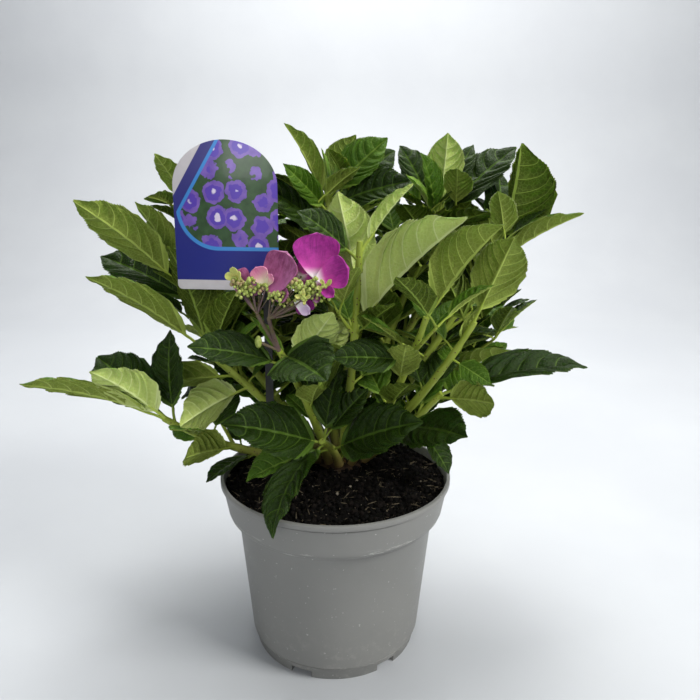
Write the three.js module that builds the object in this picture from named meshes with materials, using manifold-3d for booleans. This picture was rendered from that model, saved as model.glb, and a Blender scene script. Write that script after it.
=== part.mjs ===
// A lacecap hydrangea in its nursery pot, in millimetres, with +Z up.
// The origin is the middle of the pot's underside, and the front of the plant faces -Y.
import * as THREE from "three";
import { mergeVertices } from "three/addons/utils/BufferGeometryUtils.js";
import Module from "manifold-3d";

const wasm = await Module();
wasm.setup();

// Driving dimensions
const GAP = 0.3; // between neighbouring pieces
const POT = {
  height: 168.4,
  rim: 107.5,
  wall: 1.8,
  collarHeight: 37, // the deeper band round the top
  collarStep: 9.5, // how far the band stands out of the wall
  wallTop: 92.1,
  wallFoot: 81.2,
  footHeight: 13.4,
  foot: 77.5,
  footRing: 8, // width of the ring that the pot stands on
  centrePad: 24, // the middle of the underside also touches the ground
  floorLift: 3, // the underside between ring and pad is raised
  floor: 2.2,
  facets: 40,
};
const NOTCH = { count: 6, first: 248, width: 20, height: 7, depth: 26 };
const SOIL = { level: 161, relief: 3.5, rings: [30, 48, 66, 84, 98], facets: 40 };
const STUMP = { centre: [4, 34], radius: 27, height: 17, facets: 16 };
const LIMB = { foot: 4.4, waist: 3.5, tip: 2.5, sides: 6, steps: 3, stemSteps: 5 };
const LEAF = {
  petiole: 13, // stalk between stem and blade
  stalk: 1.7, // half its thickness
  widthShare: 0.58, // blade width over blade length
  rib: 1.3, // half the blade's thickness at its midrib
  room: 0.5, // kept free round each leaf as it is placed
  arch: 0.05, // rise of the midrib over the chord from stem to tip
  stations: [0, 0.16, 0.42, 0.76, 1], // along the blade
  smallStations: [0, 0.4, 1],
  small: 66, // leaves shorter than this have fewer faces and thinner stalks
  root: 1.2, // how far off the middle of its cane a stalk starts
  baseSwell: 0.55,
  tipTaper: 0.95,
};
const PAIRS = {
  lowest: 0.06, // above the bare bough, as a share of the cane
  highest: 0.99,
  rise: [8, 54], // at the cane's foot and at its top
  longest: 1.08, // length of the lowest leaves over the shoot's leafLength
  shrink: 0.3, // lost of it towards the top
  spread: { heading: 12, rise: 9, length: 0.08, roll: 18, arch: 0.025 },
};
const BEND = { fold: 14, foldSpread: 8, twistSpread: 20 }; // of a blade along its midrib, in degrees
const TWIG = {
  share: 0.4, // of the pairs that have a side twig
  root: 0.5,
  length: 34,
  radius: 1.5,
  rise: 52,
  leaf: 58, // length of its leaves
  leafRise: 44,
  leaves: [-70, 80], // their headings from the twig's
  spread: { rise: 10, heading: 15, length: 0.2, leaf: 0.12, roll: 15 },
};
const CROWN_SPACE = { centre: [0, 25, 232], reach: [268, 250, 252], lowest: 174 };
const LABEL = { place: [-49, -10], turn: -5 }; // its right edge, and its turn about the upright
const CARD = { width: 90, height: 125, bottom: 340, thickness: 0.8, shoulder: 0.7, arcFacets: 14 };
const STAKE = { width: 7, thickness: 1.4, inset: 11, bottom: 96, top: 412, point: 24 };
const SLIVER = 0.05; // faces thinner than this are merged into their neighbours
const SEED = 4107;

// The canes in the order that they are made. Each stands on a ring round the stump and bends out to
// its top: lean is how far out, and climb how far up, the bend's control point lies. limb is the share
// of the cane that is a bare bough. Each leaf is [place along the cane, heading, rise, length, roll] and,
// where it isn't LEAF.arch, its arch: heading runs anticlockwise from +X, and roll turns the blade about
// its own midrib, in degrees. More leaves follow in pairs, of which a shoot's turn heads the first.
const SHOOTS = [
  {
    name: "low_front", ring: 24, stand: 268, top: [-12, -24, 206], lean: 0.3, climb: 0.6, limb: 0,
    pairs: 0, leafLength: 80, turn: 0,
    leaves: [
      [0.8, 212, 21, 108, -34],
      [0.85, 251, -17, 118, 24, 0.1],
      [0.5, 318, 28, 116, 36],
      [0.55, 213, -2, 88, -8],
      [0.92, 358, 64, 90, 10],
      [0.98, 28, 60, 64, 32],
    ],
  },
  {
    name: "front", ring: 22, stand: 240, top: [-46, -48, 296], lean: 0.35, climb: 0.5, limb: 0.26,
    pairs: 2, leafLength: 70, turn: 100,
    leaves: [
      [0.87, 197, 15, 86, -14],
      [0.97, 298, 0, 88, -8],
      [0.8, 325, 54, 74, -6],
      [0.74, 18, 46, 72, -66],
    ],
  },
  {
    name: "low_left", ring: 24, stand: 212, top: [-149, -35, 231], lean: 0.62, climb: 0.3, limb: 0.3,
    pairs: 1, leafLength: 66, turn: 60,
    leaves: [
      [0.99, 194, 19, 120, 28],
      [0.96, 225, 42, 88, 28],
      [0.96, 145, 23, 110, 16],
      [0.92, 102, 74, 84, -42],
      [0.64, 143, 0, 60, -30],
      [0.5, 245, 14, 76, 48],
      [0.34, 226, -8, 64, 14, 0.08],
    ],
  },
  {
    name: "left", ring: 18, stand: 186, top: [-128, 4, 290], lean: 0.5, climb: 0.55, limb: 0.28,
    pairs: 2, leafLength: 72, turn: 90,
    leaves: [
      [0.7, 209, 5, 82, 44],
      [0.6, 239, -7, 90, 60],
      [0.72, 160, -24, 68, -30],
      [0.97, 192, 35, 114, 38],
      [0.9, 166, 70, 104, 74],
      [0.88, 336, 64, 72, -18],
    ],
  },
  {
    name: "upper_left", ring: 22, stand: 162, top: [-152, 45, 338], lean: 0.45, climb: 0.5, limb: 0.34,
    pairs: 2, leafLength: 84, turn: 60,
    leaves: [
      [0.99, 204, 42, 118, 46],
      [0.93, 153, 54, 108, 64],
      [0.85, 158, 33, 130, 10],
      [0.88, 206, 20, 112, -6],
      [0.9, 268, 76, 84, -30],
    ],
  },
  {
    name: "back_left", ring: 14, stand: 140, top: [-150, 108, 400], lean: 0.4, climb: 0.5, limb: 0.36,
    pairs: 3, leafLength: 88, turn: 20,
    leaves: [
      [1, 218, 58, 70, 22],
      [0.99, 46, 64, 72, -120],
    ],
  },
  {
    name: "centre_back", ring: 6, stand: 150, top: [-10, 60, 424], lean: 0.3, climb: 0.5, limb: 0.3,
    pairs: 3, leafLength: 84, turn: 10,
    leaves: [
      [0.95, 218, 56, 86, 10],
      [0.92, 235, 34, 78, -98],
      [0.98, 52, 54, 74, -108],
      [0.97, 345, 44, 80, 70],
      [0.94, 330, 24, 86, 54],
      [0.84, 214, 32, 92, -56],
    ],
  },
  {
    name: "centre", ring: 9, stand: 270, top: [20, -36, 385], lean: 0.8, climb: 0.45, limb: 0.24,
    pairs: 3, leafLength: 70, turn: 40,
    leaves: [
      [0.8, 180, 79, 88, 46],
      [0.95, 356, 60, 72, -22],
      [0.93, 198, 38, 66, -58],
      [0.67, 317, 42, 146, -10],
      [0.62, 245, -19, 70, 90],
    ],
  },
  {
    name: "right_centre", ring: 22, stand: 298, top: [75, -48, 325], lean: 0.6, climb: 0.4, limb: 0.26,
    pairs: 2, leafLength: 72, turn: 110,
    leaves: [
      [0.99, 335, 53, 98, -44],
      [0.62, 273, 50, 64, -14],
      [0.78, 220, 20, 76, -58],
    ],
  },
  {
    name: "right", ring: 12, stand: 330, top: [118, -30, 318], lean: 0.6, climb: 0.4, limb: 0.3,
    pairs: 2, leafLength: 70, turn: 70,
    leaves: [
      [0.98, 300, 61, 88, -50],
      [0.72, 60, 22, 54, -14],
      [0.8, 318, -20, 44, 56],
      [0.95, 112, 45, 80, 130],
    ],
  },
  {
    name: "far_right", ring: 20, stand: 356, top: [146, 22, 374], lean: 0.5, climb: 0.5, limb: 0.34,
    pairs: 3, leafLength: 82, turn: 30,
    leaves: [
      [0.99, 311, 79, 96, -36],
      [0.97, 78, 56, 100, 40],
      [0.9, 332, 33, 100, -16],
      [0.86, 110, 74, 84, 100],
    ],
  },
  {
    name: "right_top", ring: 8, stand: 30, top: [97, 55, 404], lean: 0.4, climb: 0.5, limb: 0.34,
    pairs: 3, leafLength: 84, turn: 60,
    leaves: [
      [0.99, 273, 71, 78, -12],
      [0.98, 28, 66, 82, 24],
      [0.96, 243, 54, 78, -108],
      [0.98, 135, 54, 86, -34],
      [0.95, 20, 32, 106, 28],
      [0.9, 308, 26, 86, -12],
    ],
  },
  {
    name: "low_right", ring: 26, stand: 332, top: [96, -10, 248], lean: 0.55, climb: 0.45, limb: 0.28,
    pairs: 1, leafLength: 74, turn: 60,
    leaves: [
      [0.98, 356, 13, 132, -38],
      [0.94, 303, 12, 72, -78],
      [0.5, 292, 22, 116, 34],
      [0.97, 54, -8, 98, 8],
      [0.62, 309, -36, 60, -6],
    ],
  },
  {
    name: "back_right", ring: 16, stand: 50, top: [128, 128, 372], lean: 0.4, climb: 0.5, limb: 0.32,
    pairs: 4, leafLength: 98, turn: 20, leaves: [],
  },
  {
    name: "back_middle", ring: 14, stand: 92, top: [14, 168, 392], lean: 0.4, climb: 0.5, limb: 0.32,
    pairs: 4, leafLength: 106, turn: 75, leaves: [],
  },
  {
    name: "low_back", ring: 25, stand: 106, top: [-38, 186, 258], lean: 0.55, climb: 0.4, limb: 0.3,
    pairs: 4, leafLength: 104, turn: 110, leaves: [],
  },
  {
    name: "low_back_left", ring: 25, stand: 136, top: [-142, 156, 266], lean: 0.55, climb: 0.4, limb: 0.3,
    pairs: 4, leafLength: 104, turn: 145, leaves: [],
  },
  {
    name: "low_back_right", ring: 25, stand: 22, top: [148, 112, 264], lean: 0.55, climb: 0.4, limb: 0.3,
    pairs: 4, leafLength: 102, turn: 40, leaves: [],
  },
];
const BLADE_NUDGES = [
  [0, 0], [0, 5], [0, -5], [5, 0], [-5, 0], [7, 7], [-7, 7], [7, -7], [-7, -7],
  [0, 12], [0, -12], [12, 0], [-12, 0], [14, 12], [-14, 12], [14, -12], [-14, -12], [24, 4], [-24, 4],
];

// The flower head stands on the front cane. Places are [right, towards the viewer, up] from the cane's
// top. A floret faces a heading and a rise, and spin turns its four sepals.
const HEAD = {
  shoot: "front",
  fork: [-12, -12, 26],
  seat: 0.018, // share of the way to the fork that is left clear above the cane's tip
  stalk: 2,
  florets: [
    { at: [24, 22, 70], sepal: 25, faces: [265, 22], spin: 20 },
    { at: [41, 24, 56], sepal: 19, faces: [300, 30], spin: 60 },
    { at: [-6, 12, 64], sepal: 22, faces: [215, 30], spin: 5 },
    { at: [-26, 20, 58], sepal: 12, faces: [250, 10], spin: 40 },
    { at: [12, 22, 30], sepal: 12, faces: [270, -10], spin: 30 },
  ],
  eye: 2.6, // radius of a floret's middle
  floretStalk: 1,
  sepalForm: [[0.06, 0.05], [0.6, 0.46], [1, 0.16]], // reach and half width over the sepal's length
  sepalHalf: 0.7, // half a sepal's thickness
  sepalCup: 0.1, // how far its tip bends forward over its length
  buds: [
    [-49, 12, 60], [-42, 14, 52], [-35, 16, 45], [-26, 14, 50], [-17, 18, 38], [-9, 18, 45],
    [-1, 18, 36], [8, 18, 46], [17, 18, 40], [26, 18, 46],
  ],
  bud: 6,
  budStalk: 0.9,
};
const TOP_BUDS = { shoot: "centre_back", count: 5, bud: 4.4, spread: 9, rise: 4, turn: 137.5, dome: 0.03 };

const rad = THREE.MathUtils.degToRad;
const vec = (v) => new THREE.Vector3(v[0], v[1], v[2]);

// The direction of a heading and a rise, both in degrees.
function headingOf(heading, rise) {
  const [turn, climb] = [rad(heading), rad(rise)];
  const level = Math.cos(climb);
  return new THREE.Vector3(level * Math.cos(turn), level * Math.sin(turn), Math.sin(climb));
}

// A seeded number maker, so that the plant grows the same each time.
function seeded(seed) {
  let state = seed >>> 0;
  return () => {
    state = (state + 0x6d2b79f5) >>> 0;
    let t = state;
    t = Math.imul(t ^ (t >>> 15), t | 1);
    t ^= t + Math.imul(t ^ (t >>> 7), t | 61);
    return ((t ^ (t >>> 14)) >>> 0) / 4294967296;
  };
}

function solidOf(geometry) {
  const bare = geometry.clone();
  bare.deleteAttribute("normal");
  bare.deleteAttribute("uv");
  const merged = mergeVertices(bare, 1e-4);
  return new wasm.Manifold(
    new wasm.Mesh({
      numProp: 3,
      vertProperties: merged.attributes.position.array,
      triVerts: new Uint32Array(merged.index.array),
    }),
  );
}

// The largest body of a joined solid, without sealed hollows, loose scraps or sliver faces.
function wholeBody(solid) {
  const bodies = solid.simplify(SLIVER).decompose().filter((body) => body.volume() > 0);
  return bodies.reduce((most, body) => (body.volume() > most.volume() ? body : most));
}

function meshOf(name, solid, material) {
  const { vertProperties, triVerts } = solid.getMesh();
  const geometry = new THREE.BufferGeometry();
  geometry.setAttribute("position", new THREE.BufferAttribute(new Float32Array(vertProperties), 3));
  geometry.setIndex(new THREE.BufferAttribute(new Uint32Array(triVerts), 1));
  geometry.computeVertexNormals();
  const mesh = new THREE.Mesh(geometry, material);
  mesh.name = name;
  return mesh;
}

function finish(color, roughness) {
  return new THREE.MeshStandardMaterial({ color, roughness, metalness: 0 });
}

// Moves each vertex of a geometry by a function of its position.
function shaped(geometry, move) {
  const place = geometry.attributes.position;
  const point = new THREE.Vector3();
  for (let i = 0; i < place.count; i++) {
    point.fromBufferAttribute(place, i);
    const moved = move(point);
    place.setXYZ(i, moved.x, moved.y, moved.z);
  }
  return geometry;
}

// Pot

function lathe(profile, facets) {
  const points = profile.map(([r, z]) => new THREE.Vector2(r, z));
  return new THREE.LatheGeometry(points, facets).rotateX(Math.PI / 2);
}

function innerWall(z) {
  const t = (z - POT.footHeight) / (POT.height - POT.collarHeight - POT.footHeight);
  return THREE.MathUtils.lerp(POT.wallFoot, POT.wallTop, t) - POT.wall;
}

function potSolid() {
  const collar = POT.height - POT.collarHeight;
  const band = POT.wallTop + POT.collarStep;
  const profile = [
    [0, 0],
    [POT.centrePad, 0],
    [POT.centrePad + 2, POT.floorLift],
    [POT.foot - POT.footRing - 1, POT.floorLift],
    [POT.foot - POT.footRing, 0],
    [POT.foot - 0.8, 0],
    [POT.foot, 1],
    [POT.foot + 0.7, POT.footHeight - 1],
    [POT.wallFoot, POT.footHeight],
    [POT.wallTop, collar],
    [POT.wallTop + 3, collar + 0.6],
    [band - 1.6, collar + 4.5],
    [band, collar + 10.5],
    [POT.rim - 2.2, POT.height - 6],
    [POT.rim, POT.height - 4],
    [POT.rim, POT.height - 0.8],
    [POT.rim - 1, POT.height],
    [POT.rim - 3.4, POT.height],
    [band - POT.wall, collar + 11],
    [POT.wallTop - POT.wall, collar + 3],
    [innerWall(POT.footHeight), POT.footHeight + 1],
    [POT.foot - POT.wall - 2, POT.floorLift + POT.floor],
    [0, POT.floorLift + POT.floor],
  ];
  let pot = solidOf(lathe(profile, POT.facets));
  for (let i = 0; i < NOTCH.count; i++) {
    const angle = rad(NOTCH.first + (360 / NOTCH.count) * i);
    const block = new THREE.BoxGeometry(NOTCH.depth, NOTCH.width, 2 * NOTCH.height);
    block.translate(POT.foot, 0, 0).rotateZ(angle);
    pot = pot.subtract(solidOf(block));
  }
  return pot;
}

// Peat, loose and uneven on top, level under the stump.
function soilHeight(x, y) {
  const [cx, cy] = STUMP.centre;
  const flat = THREE.MathUtils.smoothstep(Math.hypot(x - cx, y - cy), STUMP.radius, STUMP.radius + 22);
  const lump = Math.sin(x * 0.085 + 1.1) * Math.cos(y * 0.098 - 0.6) + 0.5 * Math.sin((x - y) * 0.19);
  return SOIL.level + SOIL.relief * 0.55 * flat * lump;
}

function soilSolid() {
  const collar = POT.height - POT.collarHeight;
  const bottom = POT.floorLift + POT.floor + GAP;
  const wide = POT.wallTop + POT.collarStep - POT.wall - GAP;
  const profile = [
    [0, bottom],
    [POT.foot - POT.wall - 2 - 2 * GAP, bottom],
    [innerWall(POT.footHeight) - 2 * GAP, POT.footHeight + 1],
    [POT.wallTop - POT.wall - 2 * GAP, collar + 3],
    [wide - GAP, collar + 11 + GAP],
    [wide + 0.4, SOIL.level],
    ...[...SOIL.rings].reverse().map((r) => [r, SOIL.level]),
    [0, SOIL.level],
  ];
  const level = SOIL.level - 1;
  const body = shaped(lathe(profile, SOIL.facets), (p) =>
    p.z > level && Math.hypot(p.x, p.y) < wide - 1 ? p.setZ(soilHeight(p.x, p.y)) : p,
  );
  return solidOf(body);
}

// The woody stump that all canes spring from.
function stumpSolid(grow) {
  const [cx, cy] = STUMP.centre;
  const { radius, height } = STUMP;
  const low = SOIL.level + GAP - grow;
  const profile = [
    [0, low],
    [radius * 0.9 + grow, low],
    [radius + grow, low + height * 0.34],
    [radius * 0.8 + grow, low + height * 0.76 + grow],
    [radius * 0.4, low + height + 1.6 * grow],
    [0, low + height + 1.6 * grow],
  ];
  const body = lathe(profile, STUMP.facets).translate(cx, cy, 0);
  return solidOf(body);
}

// Canes

function caneOf(shoot) {
  const [cx, cy] = STUMP.centre;
  const angle = rad(shoot.stand);
  const foot = new THREE.Vector3(
    cx + shoot.ring * Math.cos(angle),
    cy + shoot.ring * Math.sin(angle),
    SOIL.level + STUMP.height * 0.45,
  );
  const top = vec(shoot.top);
  const bend = new THREE.Vector3(
    THREE.MathUtils.lerp(foot.x, top.x, shoot.lean),
    THREE.MathUtils.lerp(foot.y, top.y, shoot.lean),
    THREE.MathUtils.lerp(foot.z, top.z, shoot.climb),
  );
  return new THREE.QuadraticBezierCurve3(foot, bend, top);
}

// A tapering round limb along part of a cane. Each cane lies in one upright plane.
function limbAlong(curve, from, to, radiusFrom, radiusTo, sides, steps) {
  const [foot, top] = [curve.getPoint(0), curve.getPoint(1)];
  const across = new THREE.Vector3(top.y - foot.y, foot.x - top.x, 0).normalize();
  const body = new THREE.CylinderGeometry(1, 1, 1, sides, steps);
  return shaped(body, (p) => {
    const share = p.y + 0.5;
    const at = THREE.MathUtils.lerp(from, to, share);
    const radius = THREE.MathUtils.lerp(radiusFrom, radiusTo, share);
    const beside = across.clone().cross(curve.getTangent(at)).multiplyScalar(p.z * radius);
    return curve.getPoint(at).addScaledVector(across, p.x * radius).add(beside);
  });
}

function caneRadius(at) {
  const waist = 0.5;
  return at < waist
    ? THREE.MathUtils.lerp(LIMB.foot, LIMB.waist, at / waist)
    : THREE.MathUtils.lerp(LIMB.waist, LIMB.tip, (at - waist) / (1 - waist));
}

// Leaves

function bladeWidth(share) {
  const widest = LEAF.baseSwell / (LEAF.baseSwell + LEAF.tipTaper);
  const form = (b) => b ** LEAF.baseSwell * (1 - b) ** LEAF.tipTaper;
  return form(share) / form(widest);
}

// A leaf's own directions: along its midrib, across its blade and out of its upper side.
function leafFrame(leaf) {
  const along = headingOf(leaf.heading, leaf.rise);
  const across = along.clone().cross(new THREE.Vector3(0, 0, 1)).normalize();
  return { along, across, out: across.clone().cross(along) };
}

// A point of the leaf: share runs from stem to tip, side and depth from -1 to 1 over its section.
function leafPoint(leaf, share, side, depth) {
  const { along, across, out } = leafFrame(leaf);
  const stalkShare = leaf.petiole / leaf.length;
  const blade = Math.max(0, (share - stalkShare) / (1 - stalkShare));
  const half = 0.5 * LEAF.widthShare * (leaf.length - leaf.petiole) * bladeWidth(blade);
  const onStalk = share <= stalkShare;
  const stalk = LEAF.stalk * (leaf.length < LEAF.small ? 0.7 : 1);
  const width = onStalk ? stalk : half + 0.9 * (1 - blade);
  const thick = onStalk ? stalk : LEAF.rib * (1 - 0.55 * blade) + leaf.room;
  const turn = rad(leaf.roll + leaf.twist * (blade - 0.4));
  const right = across.clone().multiplyScalar(Math.cos(turn)).addScaledVector(out, -Math.sin(turn));
  const upper = out.clone().multiplyScalar(Math.cos(turn)).addScaledVector(across, Math.sin(turn));
  const lift = leaf.arch * leaf.length * 4 * share * (1 - share);
  const fold = Math.abs(side) * half * Math.tan(rad(leaf.fold));
  return leaf.base
    .clone()
    .addScaledVector(along, LEAF.root + (leaf.length - LEAF.root) * share)
    .addScaledVector(upper, lift + fold + depth * thick)
    .addScaledVector(right, side * (width + leaf.room));
}

function leafSolid(leaf, leftOff = 0) {
  const stalkShare = leaf.petiole / leaf.length;
  const stations = leaf.length < LEAF.small ? LEAF.smallStations : LEAF.stations;
  const blade = stations.map((b) => stalkShare + (1 - stalkShare) * b);
  const shares = [0, ...blade].slice(leftOff);
  const steps = shares.length - 1;
  const body = new THREE.CylinderGeometry(1, 1, 1, 4, steps);
  return solidOf(
    shaped(body, (p) => leafPoint(leaf, shares[Math.round((p.y + 0.5) * steps)], p.x, p.z)),
  );
}

function boxesMeet(a, b) {
  const [p, q] = [a.boundingBox(), b.boundingBox()];
  return [0, 1, 2].every((i) => p.min[i] <= q.max[i] && q.min[i] <= p.max[i]);
}

function touches(a, b) {
  return boxesMeet(a, b) && !a.intersect(b).isEmpty();
}

function inCrownSpace(point) {
  const { centre, reach, lowest } = CROWN_SPACE;
  const offset = [point.x - centre[0], point.y - centre[1], point.z - centre[2]];
  return point.z > lowest && offset.reduce((sum, o, i) => sum + (o / reach[i]) ** 2, 0) < 1;
}

// Everything that has been placed: solids that later leaves keep clear of, each with its owner.
const placed = [];
const random = seeded(SEED);
const around = (spread) => (2 * random() - 1) * spread;

function meets(solid, others) {
  return others.some((other) => touches(solid, other.solid));
}

// Places a leaf at the first small change of direction that leaves it clear of its neighbours.
function placeLeaf(shoot, base, heading, rise, length, roll, arch, inside) {
  const bends = { fold: BEND.fold + around(BEND.foldSpread), twist: around(BEND.twistSpread) };
  const petiole = Math.min(LEAF.petiole, 0.2 * length);
  for (const [turn, lift] of BLADE_NUDGES) {
    const leaf = {
      base, heading: heading + turn, rise: rise + lift, length, roll, arch, petiole, room: 0, ...bends,
    };
    if (inside && ![0.6, 1].every((share) => inCrownSpace(leafPoint(leaf, share, 0, 0)))) continue;
    const roomy = { ...leaf, room: LEAF.room };
    if (meets(leafSolid(roomy, 2), placed)) continue;
    if (meets(leafSolid(roomy), placed.filter((other) => other.owner !== shoot.name))) continue;
    const solid = leafSolid(leaf);
    placed.push({ owner: shoot.name, solid });
    shoot.solids.push(solid);
    return;
  }
}

// A short side twig out of a leaf's axil, with a small pair of leaves at its end.
function growTwig(shoot, base, heading) {
  const { spread } = TWIG;
  const rise = TWIG.rise + around(spread.rise);
  const along = headingOf(heading + around(spread.heading), rise);
  const reach = TWIG.length * (1 + around(spread.length));
  const tip = base.clone().addScaledVector(along, reach);
  const root = base.clone().addScaledVector(along, TWIG.root);
  const solid = stickBetween(root, tip, TWIG.radius, 3);
  if (!inCrownSpace(tip) || meets(solid, placed.filter((other) => other.owner !== shoot.name))) return;
  placed.push({ owner: shoot.name, solid });
  shoot.solids.push(solid);
  for (const side of TWIG.leaves) {
    const length = TWIG.leaf * (1 + around(spread.leaf));
    const leafRise = TWIG.leafRise + around(spread.rise);
    placeLeaf(shoot, tip, heading + side, leafRise, length, around(spread.roll), LEAF.arch, true);
  }
}

// Leaves stand in pairs up the cane, and each pair is turned a quarter from the last.
function growPairs(shoot) {
  const { spread } = PAIRS;
  for (let k = 0; k < shoot.pairs; k++) {
    const share = (k + 0.5) / shoot.pairs;
    const at = THREE.MathUtils.lerp(shoot.limb + PAIRS.lowest, PAIRS.highest, share);
    const base = shoot.cane.getPoint(at);
    for (const side of [0, 180]) {
      const heading = shoot.turn + 90 * k + side + around(spread.heading);
      const rise = THREE.MathUtils.lerp(...PAIRS.rise, at) + around(spread.rise);
      const plain = shoot.leafLength * (PAIRS.longest - PAIRS.shrink * share);
      const length = plain * (1 + around(spread.length));
      const roll = around(spread.roll);
      placeLeaf(shoot, base, heading, rise, length, roll, LEAF.arch + around(spread.arch), true);
    }
    if (random() < TWIG.share) growTwig(shoot, base, shoot.turn + 90 * k + 90);
  }
}

// Flower head and top buds

function stickBetween(from, to, radius, sides) {
  const length = from.distanceTo(to);
  const body = new THREE.CylinderGeometry(radius, radius, length, sides, 1);
  body.translate(0, length / 2, 0);
  const turn = new THREE.Quaternion().setFromUnitVectors(
    new THREE.Vector3(0, 1, 0),
    to.clone().sub(from).normalize(),
  );
  return solidOf(body.applyQuaternion(turn).translate(from.x, from.y, from.z));
}

function budSolid(centre, radius) {
  return solidOf(new THREE.OctahedronGeometry(radius).translate(centre.x, centre.y, centre.z));
}

// Four sepals round a small centre, facing one heading and rise.
function floretSolids(centre, floret) {
  const face = headingOf(...floret.faces);
  const across = new THREE.Vector3(0, 0, 1).cross(face).normalize();
  const up = face.clone().cross(across);
  const solids = [budSolid(centre, HEAD.eye)];
  for (let i = 0; i < 4; i++) {
    const angle = rad(floret.spin + 90 * i);
    const along = across.clone().multiplyScalar(Math.cos(angle)).addScaledVector(up, Math.sin(angle));
    const side = along.clone().cross(face);
    const body = new THREE.CylinderGeometry(1, 1, 1, 4, HEAD.sepalForm.length - 1);
    solids.push(solidOf(shaped(body, (p) => {
      const [reach, half] = HEAD.sepalForm[Math.round((p.y + 0.5) * (HEAD.sepalForm.length - 1))];
      const bend = HEAD.sepalCup * floret.sepal * reach * reach;
      return centre.clone()
        .addScaledVector(along, floret.sepal * reach)
        .addScaledVector(side, p.x * half * floret.sepal)
        .addScaledVector(face, p.z * HEAD.sepalHalf + bend);
    })));
  }
  return solids;
}

function flowerHeadSolid(top) {
  const place = ([right, near, up]) => new THREE.Vector3(top.x + right, top.y - near, top.z + up);
  const fork = new THREE.Vector3(top.x + HEAD.fork[0], top.y + HEAD.fork[1], top.z + HEAD.fork[2]);
  const start = top.clone().lerp(fork, HEAD.seat);
  const parts = [stickBetween(start, fork, HEAD.stalk, 6), budSolid(fork, HEAD.stalk * 1.3)];
  for (const floret of HEAD.florets) {
    const centre = place(floret.at);
    parts.push(stickBetween(fork, centre, HEAD.floretStalk, 3), ...floretSolids(centre, floret));
  }
  for (const bud of HEAD.buds) {
    const centre = place(bud);
    parts.push(stickBetween(fork, centre, HEAD.budStalk, 3), budSolid(centre, HEAD.bud));
  }
  return wholeBody(wasm.Manifold.union(parts));
}

function topBudSolids(top) {
  const solids = [];
  for (let i = 0; i < TOP_BUDS.count; i++) {
    const angle = rad(i * TOP_BUDS.turn);
    const reach = TOP_BUDS.spread * Math.sqrt(i / TOP_BUDS.count);
    const centre = new THREE.Vector3(
      top.x + reach * Math.cos(angle),
      top.y + reach * Math.sin(angle),
      top.z + TOP_BUDS.rise - TOP_BUDS.dome * reach * reach,
    );
    solids.push(budSolid(centre, TOP_BUDS.bud));
  }
  return solids;
}

// Label

function placeLabelPart(geometry) {
  const [x, y] = LABEL.place;
  return solidOf(geometry.rotateZ(rad(LABEL.turn)).translate(x, y, 0));
}

function cardSolid() {
  const { width, height, thickness } = CARD;
  const shoulder = height * CARD.shoulder;
  const outline = new THREE.Shape();
  outline.moveTo(-width, 0);
  outline.lineTo(0, 0);
  outline.lineTo(0, shoulder);
  outline.absellipse(-width / 2, shoulder, width / 2, height - shoulder, 0, Math.PI, false, 0);
  outline.closePath();
  const options = { depth: thickness, bevelEnabled: false, curveSegments: CARD.arcFacets };
  const body = new THREE.ExtrudeGeometry(outline, options);
  return placeLabelPart(body.rotateX(Math.PI / 2).translate(0, 0, CARD.bottom));
}

// The stake stands behind the card and comes to a point in the peat.
function stakeSolid(grow) {
  const { width, thickness, bottom, top } = STAKE;
  const [half, length] = [width / 2 + grow, top - bottom];
  const outline = new THREE.Shape();
  outline.moveTo(-half, length);
  outline.lineTo(-half, STAKE.point);
  outline.lineTo(-0.3 * half, -grow);
  outline.lineTo(0.3 * half, -grow);
  outline.lineTo(half, STAKE.point);
  outline.lineTo(half, length);
  outline.closePath();
  const options = { depth: thickness + 2 * grow, bevelEnabled: false };
  const body = new THREE.ExtrudeGeometry(outline, options).rotateX(Math.PI / 2);
  return placeLabelPart(body.translate(-STAKE.inset, GAP + thickness + grow, bottom));
}

// The whole plant

const hydrangea = new THREE.Group();
const leafGreen = finish(0x4c7a33, 0.55);
const caneGreen = finish(0x8a9c4a, 0.6);

const pot = potSolid();
const stump = stumpSolid(0);
const stumpRoom = stumpSolid(GAP);
const card = cardSolid();
const stake = stakeSolid(0);
const soil = soilSolid().subtract(stakeSolid(GAP));

const fixtures = { pot, soil, stump: stumpRoom, label_card: card, label_stake: stake };
for (const [owner, solid] of Object.entries(fixtures)) placed.push({ owner, solid });

for (const shoot of SHOOTS) {
  shoot.cane = caneOf(shoot);
  shoot.solids = [];
  const length = shoot.cane.getLength();
  const split = shoot.limb + (shoot.limb > 0 ? GAP / length : 0);
  if (shoot.limb > 0) {
    const bough = limbAlong(
      shoot.cane, 0, shoot.limb, caneRadius(0), caneRadius(shoot.limb), LIMB.sides, LIMB.steps,
    );
    shoot.bough = wholeBody(solidOf(bough).subtract(stumpRoom));
    placed.push({ owner: "bough_" + shoot.name, solid: shoot.bough });
  }
  const upper = limbAlong(
    shoot.cane, split, 1, caneRadius(split), caneRadius(1), LIMB.sides - 1, LIMB.stemSteps,
  );
  const stem = shoot.limb > 0 ? solidOf(upper) : wholeBody(solidOf(upper).subtract(stumpRoom));
  shoot.solids.push(stem);
  placed.push({ owner: shoot.name, solid: stem });
}

const headShoot = SHOOTS.find((shoot) => shoot.name === HEAD.shoot);
const head = flowerHeadSolid(headShoot.cane.getPoint(1));
placed.push({ owner: "flower_head", solid: head });
const budShoot = SHOOTS.find((shoot) => shoot.name === TOP_BUDS.shoot);
for (const solid of topBudSolids(budShoot.cane.getPoint(1))) {
  budShoot.solids.push(solid);
  placed.push({ owner: budShoot.name, solid });
}

for (const shoot of SHOOTS)
  for (const [at, heading, rise, length, roll, arch = LEAF.arch] of shoot.leaves)
    placeLeaf(shoot, shoot.cane.getPoint(at), heading, rise, length, roll, arch, false);
for (const shoot of SHOOTS) growPairs(shoot);

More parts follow.
